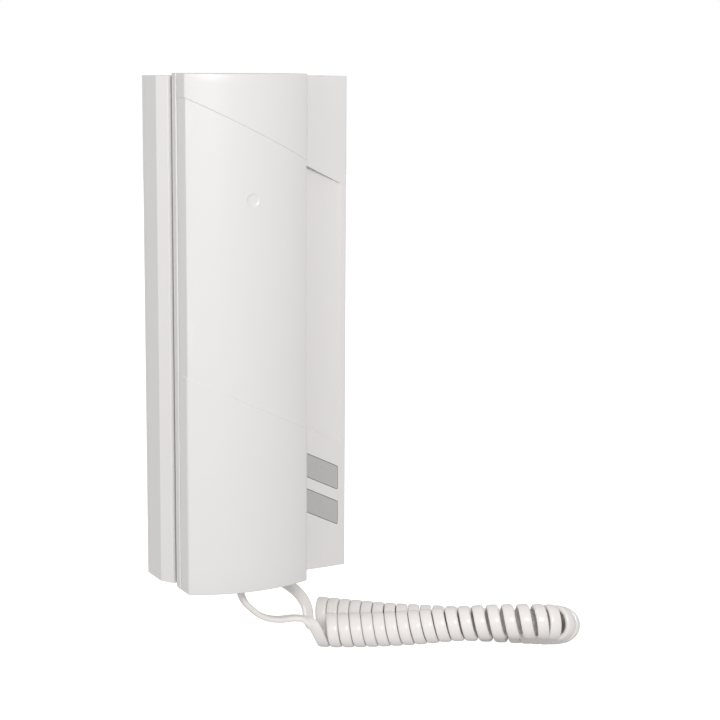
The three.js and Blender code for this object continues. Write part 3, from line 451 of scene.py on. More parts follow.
hollow = shaped(
    upright(hollow_plan, -HALF_HEIGHT + COVER_WALL, HALF_HEIGHT - COVER_WALL),
    cuts=[
        recess(COVER_WALL),
        lifted(EAR_HEIGHT, EAR_RADIUS + WELL_GAP + WELL_WALL, well_reach, -FLOOR_DEPTH - 0.01),
        lifted(MOUTH_HEIGHT, MOUTH_RADIUS + WELL_GAP + WELL_WALL, well_reach, -FLOOR_DEPTH - 0.01),
    ],
)
sounder_low, sounder_high = (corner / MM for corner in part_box("call_sounder"))
sounder_y = (sounder_low.y + sounder_high.y) / 2
sounder_z = (sounder_low.z + sounder_high.z) / 2
jack_low, jack_high = (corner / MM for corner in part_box("base_socket"))
fixing_low, fixing_high = (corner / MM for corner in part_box("cover_screw"))
fixing_x, fixing_y = (fixing_low.x + fixing_high.x) / 2, (fixing_low.y + fixing_high.y) / 2
slit_ends = round_cornered(0, 0, SLIT_LONG / 2, SLIT_TALL / 2, SLIT_CORNER)
slit = prism(slit_ends, -COVER_WALL - 1, 1, lambda y, z, x: (x, y, z))
slit_places = [(HALF_WIDTH, sounder_y, sounder_z + (i - (SLIT_COUNT - 1) / 2) * SLIT_PITCH)
               for i in range(SLIT_COUNT)]
slits = lay("slits", slit_places, slit, AS_MADE, 0, laid_on_points("slits_laid", shell_white))
jack_hole = socket_mouth(jack_low, jack_high, -HALF_HEIGHT, COVER_WALL)
under = -HALF_HEIGHT - 1
screw_way = upright(circle(fixing_x, fixing_y, FIXING_HOLE, 24), under, -HALF_HEIGHT + 4)
screw_seat = upright(circle(fixing_x, fixing_y, FIXING_SEAT, 32), under, -HALF_HEIGHT + FIXING_SINK)
plunger_way = facing(circle(HANDSET_MIDDLE, PLUNGER_HEIGHT, PLUNGER_HOLE, 32),
                     -FLOOR_DEPTH + COVER_WALL + 1, -FLOOR_DEPTH - 1)
cover = shaped(
    upright(cover_plan, -HALF_HEIGHT, HALF_HEIGHT),
    cuts=[
        hollow, recess(0), plunger_way, jack_hole, screw_way, screw_seat, slits,
        lifted(EAR_HEIGHT, EAR_RADIUS + WELL_GAP, WELL_END, -FLOOR_DEPTH - 3),
        lifted(MOUTH_HEIGHT, MOUTH_RADIUS + WELL_GAP, WELL_END, -FLOOR_DEPTH - 3),
        facing(button_outline(0, BUTTON_GAP), KEY_BOARD_FRONT - 5, -BLOCK_DEPTH - 2),
        facing(button_outline(1, BUTTON_GAP), KEY_BOARD_FRONT - 5, -BLOCK_DEPTH - 2),
    ],
)
cover = finished(cover, "cradle_cover", shell_white, COVER_EDGE)
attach(cover, "root")
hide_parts("base_cover")

# ---- Buttons ------------------------------------------------------------------------------------
# Two grey ABS caps that press straight in: a face that follows the block's curve, a flange that
# stops it behind the cover, a stem to its switch and a raised mark, a disc or an upright bar.
BUTTON_GREY = (0.445, 0.440, 0.428)
BUTTON_EDGE = 0.22
FLANGE_BACK = -BLOCK_DEPTH + 5.4
FLANGE_REACH = 1.1
FLANGE_THICK = 1.2
STEM_RADIUS = 2
MARK_RAISED = 0.14
DISC_RADIUS = 1.5
BAR_HALF_WIDE, BAR_HALF_TALL, BAR_CORNER = 0.6, 2, 0.5
BUTTONS = ("call_button", "door_button")
grey_plastic = moulded("grey_abs", BUTTON_GREY, 0.42, 0.6)


def button_cap(index):
    """A cap with its flange, stem and mark."""
    low, high = (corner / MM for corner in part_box(BUTTONS[index]))
    x = (BUTTON_LEFT + BUTTON_RIGHT) / 2
    z = (low.z + high.z) / 2
    left, right = BUTTON_LEFT - 1, BUTTON_RIGHT + 1
    skin = [(x, y) for x, y, _ in block_curve(left, right, -0.02)]
    slab = upright([*skin, (right, FLANGE_BACK + 1), (left, FLANGE_BACK + 1)], -HALF_HEIGHT, 0)
    face = shaped(facing(button_outline(index, 0), FLANGE_BACK, -BLOCK_DEPTH - 2), keep=slab)
    flange = facing(button_outline(index, FLANGE_REACH), FLANGE_BACK, FLANGE_BACK - FLANGE_THICK)
    stem = facing(circle(x, z, STEM_RADIUS, 32), high.y, FLANGE_BACK - 0.5)
    if index == 0:
        mark = circle(x, z, DISC_RADIUS, 40)
    else:
        mark = round_cornered(x, z, BAR_HALF_WIDE, BAR_HALF_TALL, BAR_CORNER)
    raised = facing(mark, block_front(x) + 1, block_front(x) - MARK_RAISED)
    return shaped(face, joins=[flange, stem, raised])


for index, body in enumerate(BUTTONS):
    cap = finished(button_cap(index), body.replace("button", "key"), grey_plastic, BUTTON_EDGE)
    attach(cap, body)
    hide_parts(body)

# ---- Handset front shell ------------------------------------------------------------------------
# Crowned front moulding in white ABS with crisp long edges. Between the two diagonals its skin is
# set back by less than half a millimetre, and a small dimple marks the earpiece end.
front_low, front_high = (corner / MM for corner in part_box("handset_front"))
SHELL_WALL = 2
SEAM_FRONT = -32.15
EDGE_HALF = (front_high.x - front_low.x) / 2 - 0.3
SIDE_HALF = EDGE_HALF - 0.02
SIDE_SHARE = 0.45
EDGE_DEPTH = 41.4
CROWN_DEPTH = -front_low.y
CROWN_RADIUS = (EDGE_HALF ** 2 + (CROWN_DEPTH - EDGE_DEPTH) ** 2) / (2 * (CROWN_DEPTH - EDGE_DEPTH))
LONG_EDGE = 0.9
END_EDGE = 0.45
SET_BACK = 0.4
STEP_WIDE = 0.5
STEP_ROWS = 6
BESIDE_STEP = (0.3, 0.6, 1.2)
DIMPLE_HEIGHT = HALF_HEIGHT - 50
DIMPLE_RADIUS = 2.7
DIMPLE_DEPTH = 0.45
DIMPLE_LIP = 0.05
DIMPLE_CLEAR = 2.8
DIMPLE_SLANT = 0.6


def front_plan(inset):
    """Plan of the front shell, left seam to right seam, dense where the dimple lies."""
    half, side = EDGE_HALF - inset, SIDE_HALF - inset * SIDE_SHARE
    radius = CROWN_RADIUS - inset
    centre = CROWN_RADIUS - CROWN_DEPTH
    corner = max(LONG_EDGE - inset, 0.3)
    fine = DIMPLE_RADIUS + 1
    coarse = [-half + corner + (half - corner - fine) * i / 14 for i in range(14)]
    dense = [-fine + 2 * fine * i / 22 for i in range(23)]
    crown = [(x, centre - math.sqrt(radius ** 2 - x ** 2))
             for x in [*coarse, *dense, *[-x for x in reversed(coarse)]]]
    side_line = [(-side + 0.3, SEAM_FRONT), (-side + 0.08, SEAM_FRONT - 0.1),
                 (-side, SEAM_FRONT - 0.35), (-side, -33), (-side, -36)]
    tip = Vector((-half, centre - math.sqrt(radius ** 2 - half ** 2)))
    first, last = Vector((-half - 0.01, tip.y + corner)), Vector(crown[0])
    arc = [tuple(first * (1 - t) ** 2 + tip * 2 * t * (1 - t) + last * t * t)
           for t in [i / 8 for i in range(1, 8)]]
    left = [*side_line, tuple(first), *arc]
    plan = [*left, *crown, *[(-x, y) for x, y in reversed(left)]]
    return [(HANDSET_MIDDLE + x, y) for x, y in plan]


def eased(share):
    """A share from 0 to 1 that starts and ends gently."""
    return share * share * (3 - 2 * share)


def level(z):
    """A height that is the same all the way across."""
    return lambda x: z


def diagonal(z):
    """A height that falls to the right along the two diagonals."""
    return lambda x: z + SLOPE * x


def beside_dimple(away):
    """A height a little above or below the dimple, slanting part of the way to the diagonals."""
    return lambda x: DIMPLE_HEIGHT + away + SLOPE * (x - HANDSET_MIDDLE) * DIMPLE_SLANT


def shifted(line, away):
    """A height moved up or down."""
    return lambda x: line(x) + away


def rows(inset, low, high, count):
    """Rings spaced between two heights, all set back alike."""
    def height(share):
        return lambda x: low(x) * (1 - share) + high(x) * share
    return [(inset, height(i / count)) for i in range(1, count)]


def end_rows(end, up):
    """Rings that round off one end of the shell, from the end inwards."""
    turns = [math.pi / 2 * i / 4 for i in range(5)]
    return [(END_EDGE * (1 - math.sin(turn)), level(end + up * END_EDGE * (1 - math.cos(turn))))
            for turn in turns]


def step_rows(line, shares):
    """Rings across a diagonal's step, from below it to above it."""
    return [(SET_BACK * eased(share), shifted(line, STEP_WIDE * (i / STEP_ROWS - 0.5)))
            for i, share in enumerate(shares)]


lower, upper = diagonal(LINE_LOW), diagonal(LINE_TOP)
dimple_low = beside_dimple(-DIMPLE_RADIUS - DIMPLE_CLEAR)
dimple_high = beside_dimple(DIMPLE_RADIUS + DIMPLE_CLEAR)
shares = [i / STEP_ROWS for i in range(STEP_ROWS + 1)]
outer_rows = [
    *end_rows(front_low.z, 1),
    *rows(0, level(front_low.z + END_EDGE), lower, 8),
    *[(0, shifted(lower, -away)) for away in reversed(BESIDE_STEP)],
    *step_rows(lower, shares),
    *[(SET_BACK, shifted(lower, away)) for away in BESIDE_STEP],
    *rows(SET_BACK, shifted(lower, STEP_WIDE / 2), dimple_low, 8),
    (SET_BACK, dimple_low), *rows(SET_BACK, dimple_low, dimple_high, 34), (SET_BACK, dimple_high),
    *rows(SET_BACK, dimple_high, shifted(upper, -STEP_WIDE / 2), 4),
    *[(SET_BACK, shifted(upper, -away)) for away in reversed(BESIDE_STEP)],
    *step_rows(upper, reversed(shares)),
    *[(0, shifted(upper, away)) for away in BESIDE_STEP],
    *rows(0, shifted(upper, STEP_WIDE / 2), level(front_high.z - END_EDGE), 4),
    *reversed(end_rows(front_high.z, -1)),
]
outside = [[Vector((x, y, height(x))) for x, y in front_plan(inset)]
           for inset, height in outer_rows]
for ring in outside:
    for point in ring:
        away = math.hypot(point.x - HANDSET_MIDDLE, point.z - DIMPLE_HEIGHT) / DIMPLE_RADIUS
        if away < 1.25 and point.y < -40:
            bowl = max(0, 1 - away ** 2) ** 0.4
            lip = math.exp(-((away - 1.08) / 0.10) ** 2)
            point.y += DIMPLE_DEPTH * bowl - DIMPLE_LIP * lip
inside_plan = front_plan(SHELL_WALL)
inside_tall = front_high.z - front_low.z - 2 * SHELL_WALL
inside = []
for i in range(len(outside)):
    z = front_low.z + SHELL_WALL + inside_tall * i / (len(outside) - 1)
    inside.append([Vector((x, y, z)) for x, y in inside_plan])
lead_low, lead_high = (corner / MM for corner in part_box("handset_socket"))


def closed_tray(name, outside, inside, finish):
    """One closed shell from its outer and inner rings, both open at the seam."""
    shape = bmesh.new()
    out_verts = [[shape.verts.new(p * MM) for p in ring] for ring in outside]
    in_verts = [[shape.verts.new(p * MM) for p in ring] for ring in inside]
    for grid in (out_verts, in_verts):
        for low, high in zip(grid, grid[1:]):
            for i in range(len(low) - 1):
                shape.faces.new((low[i], low[i + 1], high[i + 1], high[i]))
        shape.faces.new(grid[0])
        shape.faces.new(grid[-1])
    for side in (0, -1):
        for i in range(len(out_verts) - 1):
            shape.faces.new((out_verts[i][side], out_verts[i + 1][side],
                             in_verts[i + 1][side], in_verts[i][side]))
    for end in (0, -1):
        shape.faces.new((out_verts[end][0], out_verts[end][-1],
                         in_verts[end][-1], in_verts[end][0]))
    for face in shape.faces:
        face.smooth = True
    bmesh.ops.recalc_face_normals(shape, faces=shape.faces)
    for edge in shape.edges:
        if len(edge.link_faces) == 2 and edge.calc_face_angle() > math.radians(35):
            edge.smooth = False
    mesh = bpy.data.meshes.new(name)
    shape.to_mesh(mesh)
    shape.free()
    return as_object(name, mesh, finish)


front = closed_tray("handset_face", outside, inside, shell_white)
hole = socket_mouth(lead_low, lead_high, handset_low.z, SHELL_WALL)
hole.data.transform(Matrix.Scale(MM, 4))
front = shaped(front, cuts=[hole])
front.data.materials.clear()
front.data.materials.append(shell_white)
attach(front, "handset")
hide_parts("handset_front")

# ---- Handset back shell -------------------------------------------------------------------------
# Flat-backed moulding with chamfered flanks, screwed to the front shell from behind. The ear and
# mouth bosses stand in the base's wells, each pierced with a ring of sound holes.
SEAM_BACK = -31.85
RIM_FLARE = 0.7
RIM_ROUND = 0.45
FLANK_DEPTH = -26
BACK_EDGE = 0.35
EAR_HOLES, EAR_RING = 6, 4.5
MOUTH_HOLES, MOUTH_RING = 4, 3.5
SCREW_SINK = 2.4
LEDGE_IN, LEDGE_DEPTH = 1.9, HANDSET_BACK - 2.3
FLAT_FROM = 4
ROOM_TAPER = 2.2
SOUND_HOLE = 1
SCREW_WELL = 3


def both_sides(half):
    """A plan from its left half: how far each corner is in from the side, how deep, how round."""
    return rounded([
        *[(handset_low.x + x, y, radius) for x, y, radius in half],
        *[(handset_high.x - x, y, radius) for x, y, radius in reversed(half)],
    ])


back_plan = both_sides([
    (RIM_ROUND, SEAM_BACK, 0), (RIM_ROUND * 0.3, SEAM_BACK + RIM_ROUND * 0.3, 0),
    (0, SEAM_BACK + RIM_ROUND, 0), (RIM_FLARE, FLANK_DEPTH, 1.5), (LEDGE_IN, LEDGE_DEPTH, 1.2),
    (FLAT_FROM, HANDSET_BACK, 0.9),
])
room_plan = both_sides([
    (SHELL_WALL, SEAM_BACK - 2, 0), (SHELL_WALL, FLANK_DEPTH, 0),
    (SHELL_WALL + ROOM_TAPER, HANDSET_BACK - SHELL_WALL, 0),
])
hole_row = laid_on_points("sound_holes_laid", shell_white)


def sound_holes(height, radius, count):
    """A middle hole and a ring of holes through a boss."""
    middle = height - LIFT_TAN * (BOSS_END - HANDSET_BACK)
    ring = [(HANDSET_MIDDLE, middle), *circle(HANDSET_MIDDLE, middle, radius, count)]
    hole = facing(circle(0, 0, SOUND_HOLE, 20), 1, -SHELL_WALL - 1)
    return lay("sound_holes", [(x, BOSS_END, z) for x, z in ring], hole, AS_MADE, 0, hole_row)


screw_wells = []
for i in (1, 2, 3):
    low, high = (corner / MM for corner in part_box(f"handset_screw_{i}"))
    ring = circle((low.x + high.x) / 2, (low.z + high.z) / 2, SCREW_WELL, 32)
    screw_wells.append(facing(ring, HANDSET_BACK + 1, HANDSET_BACK - SCREW_SINK))
back = shaped(
    upright(back_plan, handset_low.z, handset_high.z),
    joins=[
        lifted(EAR_HEIGHT, EAR_RADIUS, BOSS_END, HANDSET_BACK - 1),
        lifted(MOUTH_HEIGHT, MOUTH_RADIUS, BOSS_END, HANDSET_BACK - 1),
    ],
    cuts=[
        upright(room_plan, handset_low.z + SHELL_WALL, handset_high.z - SHELL_WALL),
        *[lifted(height, radius - SHELL_WALL, BOSS_END - SHELL_WALL, HANDSET_BACK - SHELL_WALL - 1)
          for height, radius in ((EAR_HEIGHT, EAR_RADIUS), (MOUTH_HEIGHT, MOUTH_RADIUS))],
        *screw_wells,
        sound_holes(EAR_HEIGHT, EAR_RING, EAR_HOLES),
        sound_holes(MOUTH_HEIGHT, MOUTH_RING, MOUTH_HOLES),
        socket_mouth(lead_low, lead_high, handset_low.z, SHELL_WALL),
    ],
)
back = finished(back, "handset_rear", shell_white, BACK_EDGE)
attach(back, "handset")
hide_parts("handset_back")

# ---- Screws -------------------------------------------------------------------------------------
# Cross-recessed pan-head screws of zinc-plated steel, turned and thread-rolled, and the terminal
# block's brass ones. Each set is laid on its own points, every screw turned by its own amount.
STEEL_GREY = (0.56, 0.565, 0.57)
BRASS_YELLOW = (0.66, 0.50, 0.23)
CROSS_WIDE = 0.26
CROSS_LONG = 1.15
THREAD_PITCH = 0.75
THREAD_DEEP = 0.16
SCREW_SIDES = 24


def metal(name, colour, roughness):
    """Plated metal: polishing marks in its gloss and a faint cloudiness in its colour."""
    made = moulded(name, colour, roughness, 0.3)
    shader = made.node_tree.nodes["Principled BSDF"]
    shader.inputs["Metallic"].default_value = 1
    return made


def screw_pattern(radius, head, long):
    """One screw in millimetres, its head's underside at the origin and its point towards -Z."""
    shaft = radius * 0.5
    profile = [(0, head), (radius * 0.45, head * 0.97), (radius * 0.8, head * 0.8),
               (radius * 0.97, head * 0.42), (radius, head * 0.2), (radius * 0.98, 0), (shaft, 0)]
    turns = max(2, int((long - 0.8) / THREAD_PITCH))
    for i in range(turns):
        profile += [(shaft - THREAD_DEEP, -THREAD_PITCH * (i + 0.2)),
                    (shaft, -THREAD_PITCH * (i + 0.6))]
    profile += [(shaft - THREAD_DEEP, -THREAD_PITCH * turns), (0, -long)]
    shape = bmesh.new()
    rings = []
    for r, z in profile:
        if r == 0:
            rings.append([shape.verts.new((0, 0, z))])
        else:
            rings.append([shape.verts.new((x, y, z)) for x, y in circle(0, 0, r, SCREW_SIDES)])
    for upper_ring, lower_ring in zip(rings, rings[1:]):
        for i in range(SCREW_SIDES):
            k = (i + 1) % SCREW_SIDES
            corners = [upper_ring[i % len(upper_ring)], lower_ring[i % len(lower_ring)],
                       lower_ring[k % len(lower_ring)], upper_ring[k % len(upper_ring)]]
            shape.faces.new(list(dict.fromkeys(corners)))
    body = scratch("screw", shape)
    wide, reach = CROSS_WIDE * radius / 2, CROSS_LONG * radius / 2
    deep = head * 0.45
    return shaped(body, cuts=[block(-reach, reach, -wide, wide, deep, head + 1),
                              block(-wide, wide, -reach, reach, deep, head + 1)])


def screw_set(name, nodes, body, head, long, facing_turn, finish):
    """The screws of several CAD nodes as one piece; each head takes its node's width."""
    places = []
    for node in nodes:
        low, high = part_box(node)
        middle = (low + high) / 2
        if facing_turn[0] > 0:
            middle.y = low.y + head * MM
        elif facing_turn[0] < 0:
            middle.y = high.y - head * MM
        else:
            middle.z = low.z + head * MM
        places.append(middle / MM)
    wide = (high.x - low.x) / MM
    pattern = screw_pattern(wide / 2, head, long)
    tree = laid_on_points(name + "_laid", finish)
    piece = lay(name, places, pattern, facing_turn, math.pi, tree)
    piece.data.transform(Matrix.Scale(MM, 4))
    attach(piece, body)
    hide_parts(*nodes)


TO_FRONT = (math.pi / 2, 0, 0)
TO_BACK = (-math.pi / 2, 0, 0)
DOWNWARDS = (0, math.pi, 0)
zinc_steel = metal("zinc_steel", STEEL_GREY, 0.3)
plain_brass = metal("plain_brass", BRASS_YELLOW, 0.3)


def span(node, axis):
    """How far a CAD node reaches along one axis, in millimetres."""
    low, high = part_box(node)
    return (high[axis] - low[axis]) / MM


board_set = [f"board_screw_{i}" for i in (1, 2, 3, 4)]
key_set = ["key_board_screw_1", "key_board_screw_2"]
clamp_set = [f"terminal_screw_{i}" for i in range(1, 6)]
shell_set = [f"handset_screw_{i}" for i in (1, 2, 3)]
ballast_set = ["ballast_screw_1", "ballast_screw_2"]
for name, nodes, body, head, long_on, facing_turn, finish, slot in (
    ("board_screws", board_set, "root", 1.6, 1, TO_FRONT, zinc_steel, "steel"),
    ("key_board_screws", key_set, "root", 1.6, 1, TO_BACK, zinc_steel, "steel"),
    ("terminal_screws", clamp_set, "root", 1.0, 1, TO_FRONT, plain_brass, "brass"),
    ("handset_screws", shell_set, "handset", 1.5, 1, TO_BACK, zinc_steel, "steel"),
    ("ballast_screws", ballast_set, "handset", 1.6, 1, TO_FRONT, zinc_steel, "steel"),
    ("cover_fixing", ["cover_screw"], "root", 0.6, 2, DOWNWARDS, zinc_steel, "steel"),
):
    long = span(nodes[0], long_on) - head
    screw_set(name, nodes, body, head, long, facing_turn, finish)

# ---- Parts inside -------------------------------------------------------------------------------
# Bought-in parts that stay as they are made: circuit boards with green solder mask, black moulded
# housings, clear plugs, foam and rubber seats, plated metal and red sleeved wires.
BOARD_GREEN = (0.02, 0.11, 0.045)
TRACE_GREEN = (0.035, 0.17, 0.07)


def solder_mask():
    """Green board lacquer with paler copper tracks under it."""
    made = moulded("solder_mask", BOARD_GREEN, 0.32, 0.2)
    nodes, links = made.node_tree.nodes, made.node_tree.links
    tracks = nodes.new("ShaderNodeTexBrick")
    tracks.inputs["Scale"].default_value = 240
    tracks.inputs["Mortar Size"].default_value = 0.06
    tracks.inputs["Color1"].default_value = (*BOARD_GREEN, 1)
    tracks.inputs["Color2"].default_value = (*[c * 1.08 for c in BOARD_GREEN], 1)
    tracks.inputs["Mortar"].default_value = (*TRACE_GREEN, 1)
    place = nodes.new("ShaderNodeTexCoord")
    turn = nodes.new("ShaderNodeMapping")
    turn.inputs["Rotation"].default_value = (math.pi / 2, 0, 0)
    links.new(place.outputs["Object"], turn.inputs["Vector"])
    links.new(turn.outputs["Vector"], tracks.inputs["Vector"])
    links.new(tracks.outputs["Color"], nodes["Principled BSDF"].inputs["Base Color"])
    return made


clear_plug = moulded("clear_polycarbonate", (0.82, 0.84, 0.85), 0.1, 0.1)
clear_plug.node_tree.nodes["Principled BSDF"].inputs["Transmission Weight"].default_value = 0.85
finishes = {
    "inner_plastic": moulded("inner_abs", (0.62, 0.59, 0.56), 0.45, 0.6),
    "black_plastic": moulded("black_abs", (0.012, 0.012, 0.013), 0.38, 0.6),
    "clear_plastic": clear_plug,
    "circuit_board": solder_mask(),
    "rubber": moulded("black_rubber", (0.010, 0.010, 0.010), 0.75, 1.0),
    "foam": moulded("open_foam", (0.025, 0.025, 0.027), 0.95, 3.0),
    "steel": zinc_steel,
    "terminal_green": moulded("terminal_nylon", (0.02, 0.16, 0.06), 0.42, 0.6),
    "wire_red": moulded("red_sleeve", (0.30, 0.012, 0.010), 0.36, 0.3),
}
held_in = {
    "inner_plastic": ("harness_header", "hook_plunger"),
    "black_plastic": ("hook_switch_body", "speech_chip", "call_relay", "capacitor_1", "capacitor_2",
                      "call_key_switch", "door_key_switch", "call_sounder", "base_socket",
                      "earpiece_capsule", "handset_socket"),
    "clear_plastic": ("base_plug", "handset_plug"),
    "circuit_board": ("main_board", "key_board"),
    "rubber": ("microphone_boot",),
    "foam": ("earpiece_gasket",),
    "steel": ("hook_spring", "microphone_capsule", "ballast_weight"),
    "terminal_green": ("terminal_block",),
    "wire_red": ("base_harness", "earpiece_wires", "microphone_wires"),
}
for slot, nodes in held_in.items():
    for node in nodes:
        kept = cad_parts[node]
        kept.data.materials.clear()
        kept.data.materials.append(finishes[slot])

# ---- Cord ---------------------------------------------------------------------------------------
# Flat four-wire cord in white PVC: out of the handset, wound flat side out into a close curl that
# lies in a hairpin on the table, and back up into the base. Its two ends are moulded plugs.
CORD_WIDTH = 5.0
CORD_THICK = 2.5
CORD_FULLNESS = 0.5
CURL_RADIUS = 6.35
CLOSE_PITCH = 5.22
OPEN_PITCH = 6.6
OPEN_FROM = 62
OPEN_OVER = 40
BEND_PITCH = 4.0
BEND_FROM = 105
BEND_OVER = 8
TURN_STEPS = 20
SPLINE_STEPS = 24
CORD_WHITE = (0.800, 0.768, 0.742)
handset_lead_route = [
    (-12.3, -34, -109.8), (-12.3, -34, -110.8), (-11.9, -34, -112.6), (-10.2, -33.8, -116),
    (-7.1, -33.6, -119.4), (-3.4, -33.6, -122.6), (0.6, -33.6, -124.6), (6.2, -33.8, -125.8),
    (12.2, -34.4, -125.8), (16.6, -35.8, -126.4), (20, -37.8, -128.8),
]
curl_route = [
    (28, -32.2, -133.8), (33, -35.2, -133.8), (45.8, -42.8, -133.1), (61, -52.3, -131.5),
    (76.2, -61.6, -129.3), (90.6, -70.8, -127.6), (103.5, -79, -126.7), (110.8, -82.9, -126.7),
    (116.9, -84, -127.8), (121.3, -80.6, -130.3), (121.6, -75, -132.8), (118, -70.3, -133.8),
    (111.5, -66, -133.8), (104, -60.9, -133.8), (90, -51.4, -133.8), (75, -41.2, -133.8),
    (60.4, -30.6, -133.8), (46.9, -18.4, -133.8), (35.6, -7.9, -133.8),
]
base_lead_route = [
    (28.6, -14.8, -134.2), (28.7, -13.6, -130.6), (28, -12.2, -126.8), (25.2, -11.2, -122.4),
    (21.6, -11, -119), (17.4, -11, -115.9), (13.9, -11, -113.2), (12.3, -11, -111.4),
    (12, -11, -110.6), (12, -11, -109.8),
]


def smooth_line(points, spacing):
    """Points at an even spacing along a centripetal spline through the given ones."""
    points = [Vector(p) for p in points]
    ends = [2 * points[0] - points[1], *points, 2 * points[-1] - points[-2]]
    fine = []
    for a, b, c, d in zip(ends, ends[1:], ends[2:], ends[3:]):
        t1 = (b - a).length ** 0.5
        t2 = t1 + (c - b).length ** 0.5
        t3 = t2 + (d - c).length ** 0.5
        for i in range(SPLINE_STEPS):
            t = t1 + (t2 - t1) * i / SPLINE_STEPS
            low = a * (t1 - t) / t1 + b * t / t1
            mid = b * (t2 - t) / (t2 - t1) + c * (t - t1) / (t2 - t1)
            high = c * (t3 - t) / (t3 - t2) + d * (t - t2) / (t3 - t2)
            near = low * (t2 - t) / t2 + mid * t / t2
            far = mid * (t3 - t) / (t3 - t1) + high * (t - t1) / (t3 - t1)
            fine.append(near * (t2 - t) / (t2 - t1) + far * (t - t1) / (t2 - t1))
    fine.append(points[-1])
    total = sum((q - p).length for p, q in zip(fine, fine[1:]))
    count = max(2, round(total / spacing))
    even, travelled, place = [fine[0]], 0.0, 0
    for i in range(1, count):
        wanted = total * i / count
        while travelled + (fine[place + 1] - fine[place]).length < wanted:
            travelled += (fine[place + 1] - fine[place]).length
            place += 1
        share = (wanted - travelled) / (fine[place + 1] - fine[place]).length
        even.append(fine[place].lerp(fine[place + 1], share))
    even.append(fine[-1])
    return even


def curl(route, first, last):
    """The turns wound about a route from one angle to another, with their outward directions."""
    axis = smooth_line(route, 0.25)
    angle = first
    angles = []
    for here, there in zip(axis, axis[1:]):
        angles.append(angle)
        ease = min(1, max(0, (here.x - OPEN_FROM) / OPEN_OVER))
        bend = min(1, max(0, (here.x - BEND_FROM) / BEND_OVER))
        pitch = CLOSE_PITCH + (OPEN_PITCH - CLOSE_PITCH) * eased(ease)
        pitch += (BEND_PITCH - OPEN_PITCH) * eased(bend)
        angle += 2 * math.pi * (there - here).length / pitch
    angles.append(angle)
    whole = last + 2 * math.pi * round((angle - last) / (2 * math.pi))
    stretch = (whole - first) / (angle - first)
    count = round(TURN_STEPS * (whole - first) / (2 * math.pi))
    line, outward, place = [], [], 0
    for i in range(count + 1):
        wanted = first + (whole - first) * i / count
        while place < len(axis) - 2 and first + (angles[place + 1] - first) * stretch < wanted:
            place += 1
        before = first + (angles[place] - first) * stretch
        after = first + (angles[place + 1] - first) * stretch
        middle = axis[place].lerp(axis[place + 1], min(1, (wanted - before) / (after - before)))
        ahead = axis[min(place + 6, len(axis) - 1)] - axis[max(place - 5, 0)]
        ahead.normalize()
        up = Vector((0, 0, 1))
        up = (up - ahead * up.dot(ahead)).normalized()
        out = up * math.cos(wanted) + ahead.cross(up) * math.sin(wanted)
        line.append(middle + out * CURL_RADIUS)
        outward.append(out)
    return line, outward


def flat_section(width, thick, fullness, steps=24):
    """Outline of the cord's section, flat with a domed face: across its width and its thickness."""
    points = []
    for i in range(steps):
        turn = 2 * math.pi * i / steps
        x = math.copysign(abs(math.cos(turn)) ** fullness, math.cos(turn)) * width / 2
        y = math.copysign(abs(math.sin(turn)) ** (fullness + 0.25), math.sin(turn)) * thick / 2
        points.append((x, y))
    return points


def ribbon(name, line, outward, section, finish):
    """A flat section carried along a line, its thickness turned to the outward directions."""
    shape = bmesh.new()
    rings = []
    unwrap = shape.loops.layers.uv.new("along")
    for i, (here, out) in enumerate(zip(line, outward)):
        ahead = (line[min(i + 1, len(line) - 1)] - line[max(i - 1, 0)]).normalized()
        thick = (out - ahead * out.dot(ahead)).normalized()
        wide = ahead.cross(thick)
        rings.append([shape.verts.new((here + wide * x + thick * y) * MM) for x, y in section])
    around = len(section)
    travelled = 0.0
    for i, (ring, following) in enumerate(zip(rings, rings[1:])):
        step = (line[i + 1] - line[i]).length
        for j in range(around):
            k = (j + 1) % around
            face = shape.faces.new((ring[j], ring[k], following[k], following[j]))
            face.smooth = True
            spots = ((travelled, j), (travelled, j + 1),
                     (travelled + step, j + 1), (travelled + step, j))
            for loop, (u, v) in zip(face.loops, spots):
                loop[unwrap].uv = (u / CORD_WIDTH, v / around)
        travelled += step
    shape.faces.new(list(reversed(rings[0])))
    shape.faces.new(rings[-1])
    bmesh.ops.recalc_face_normals(shape, faces=shape.faces)
    mesh = bpy.data.meshes.new(name)
    shape.to_mesh(mesh)
    shape.free()
    return as_object(name, mesh, finish)


def blended(directions, others, share):
    """One set of directions turning into another as a share goes from 0 to 1."""
    return (directions * (1 - share) + others * share).normalized()


JOINS_AT = math.radians(130)
LEAVES_AT = math.radians(205)
LEAD_STEP = 1.0
TWISTS_OVER = 20
TWISTS_BACK_OVER = 8
curl_line, curl_out = curl(curl_route, JOINS_AT, LEAVES_AT)
down = smooth_line([*handset_lead_route, curl_line[0], curl_line[3]], LEAD_STEP)
down = down[:min(range(len(down)), key=lambda i: (down[i] - curl_line[0]).length) + 1]
up = smooth_line([curl_line[-4], curl_line[-1], *base_lead_route], LEAD_STEP)
up = up[min(range(len(up)), key=lambda i: (up[i] - curl_line[-1]).length):]
curl_front = (curl_out[0] - Vector((0, 0, 1)) * math.cos(JOINS_AT)) / math.sin(JOINS_AT)
down_out = []
for i, here in enumerate(down):
    ahead = (down[min(i + 1, len(down) - 1)] - down[max(i - 1, 0)]).normalized()
    flat = ahead.cross(Vector((0, 1, 0)))
    share = min(1, max(0, 1 - (len(down) - 1 - i) / TWISTS_OVER))
    angle = JOINS_AT * eased(share)
    wound = Vector((0, 0, 1)) * math.cos(angle) + curl_front * math.sin(angle)
    down_out.append(blended(flat, wound, min(1, 2 * share)))
up_out = []
for i, here in enumerate(up):
    share = min(1, max(0, 1 - i / TWISTS_BACK_OVER))
    up_out.append(blended(Vector((0, -1, 0)), curl_out[-1], share))
cord_line = down[:-1] + curl_line + up[1:]
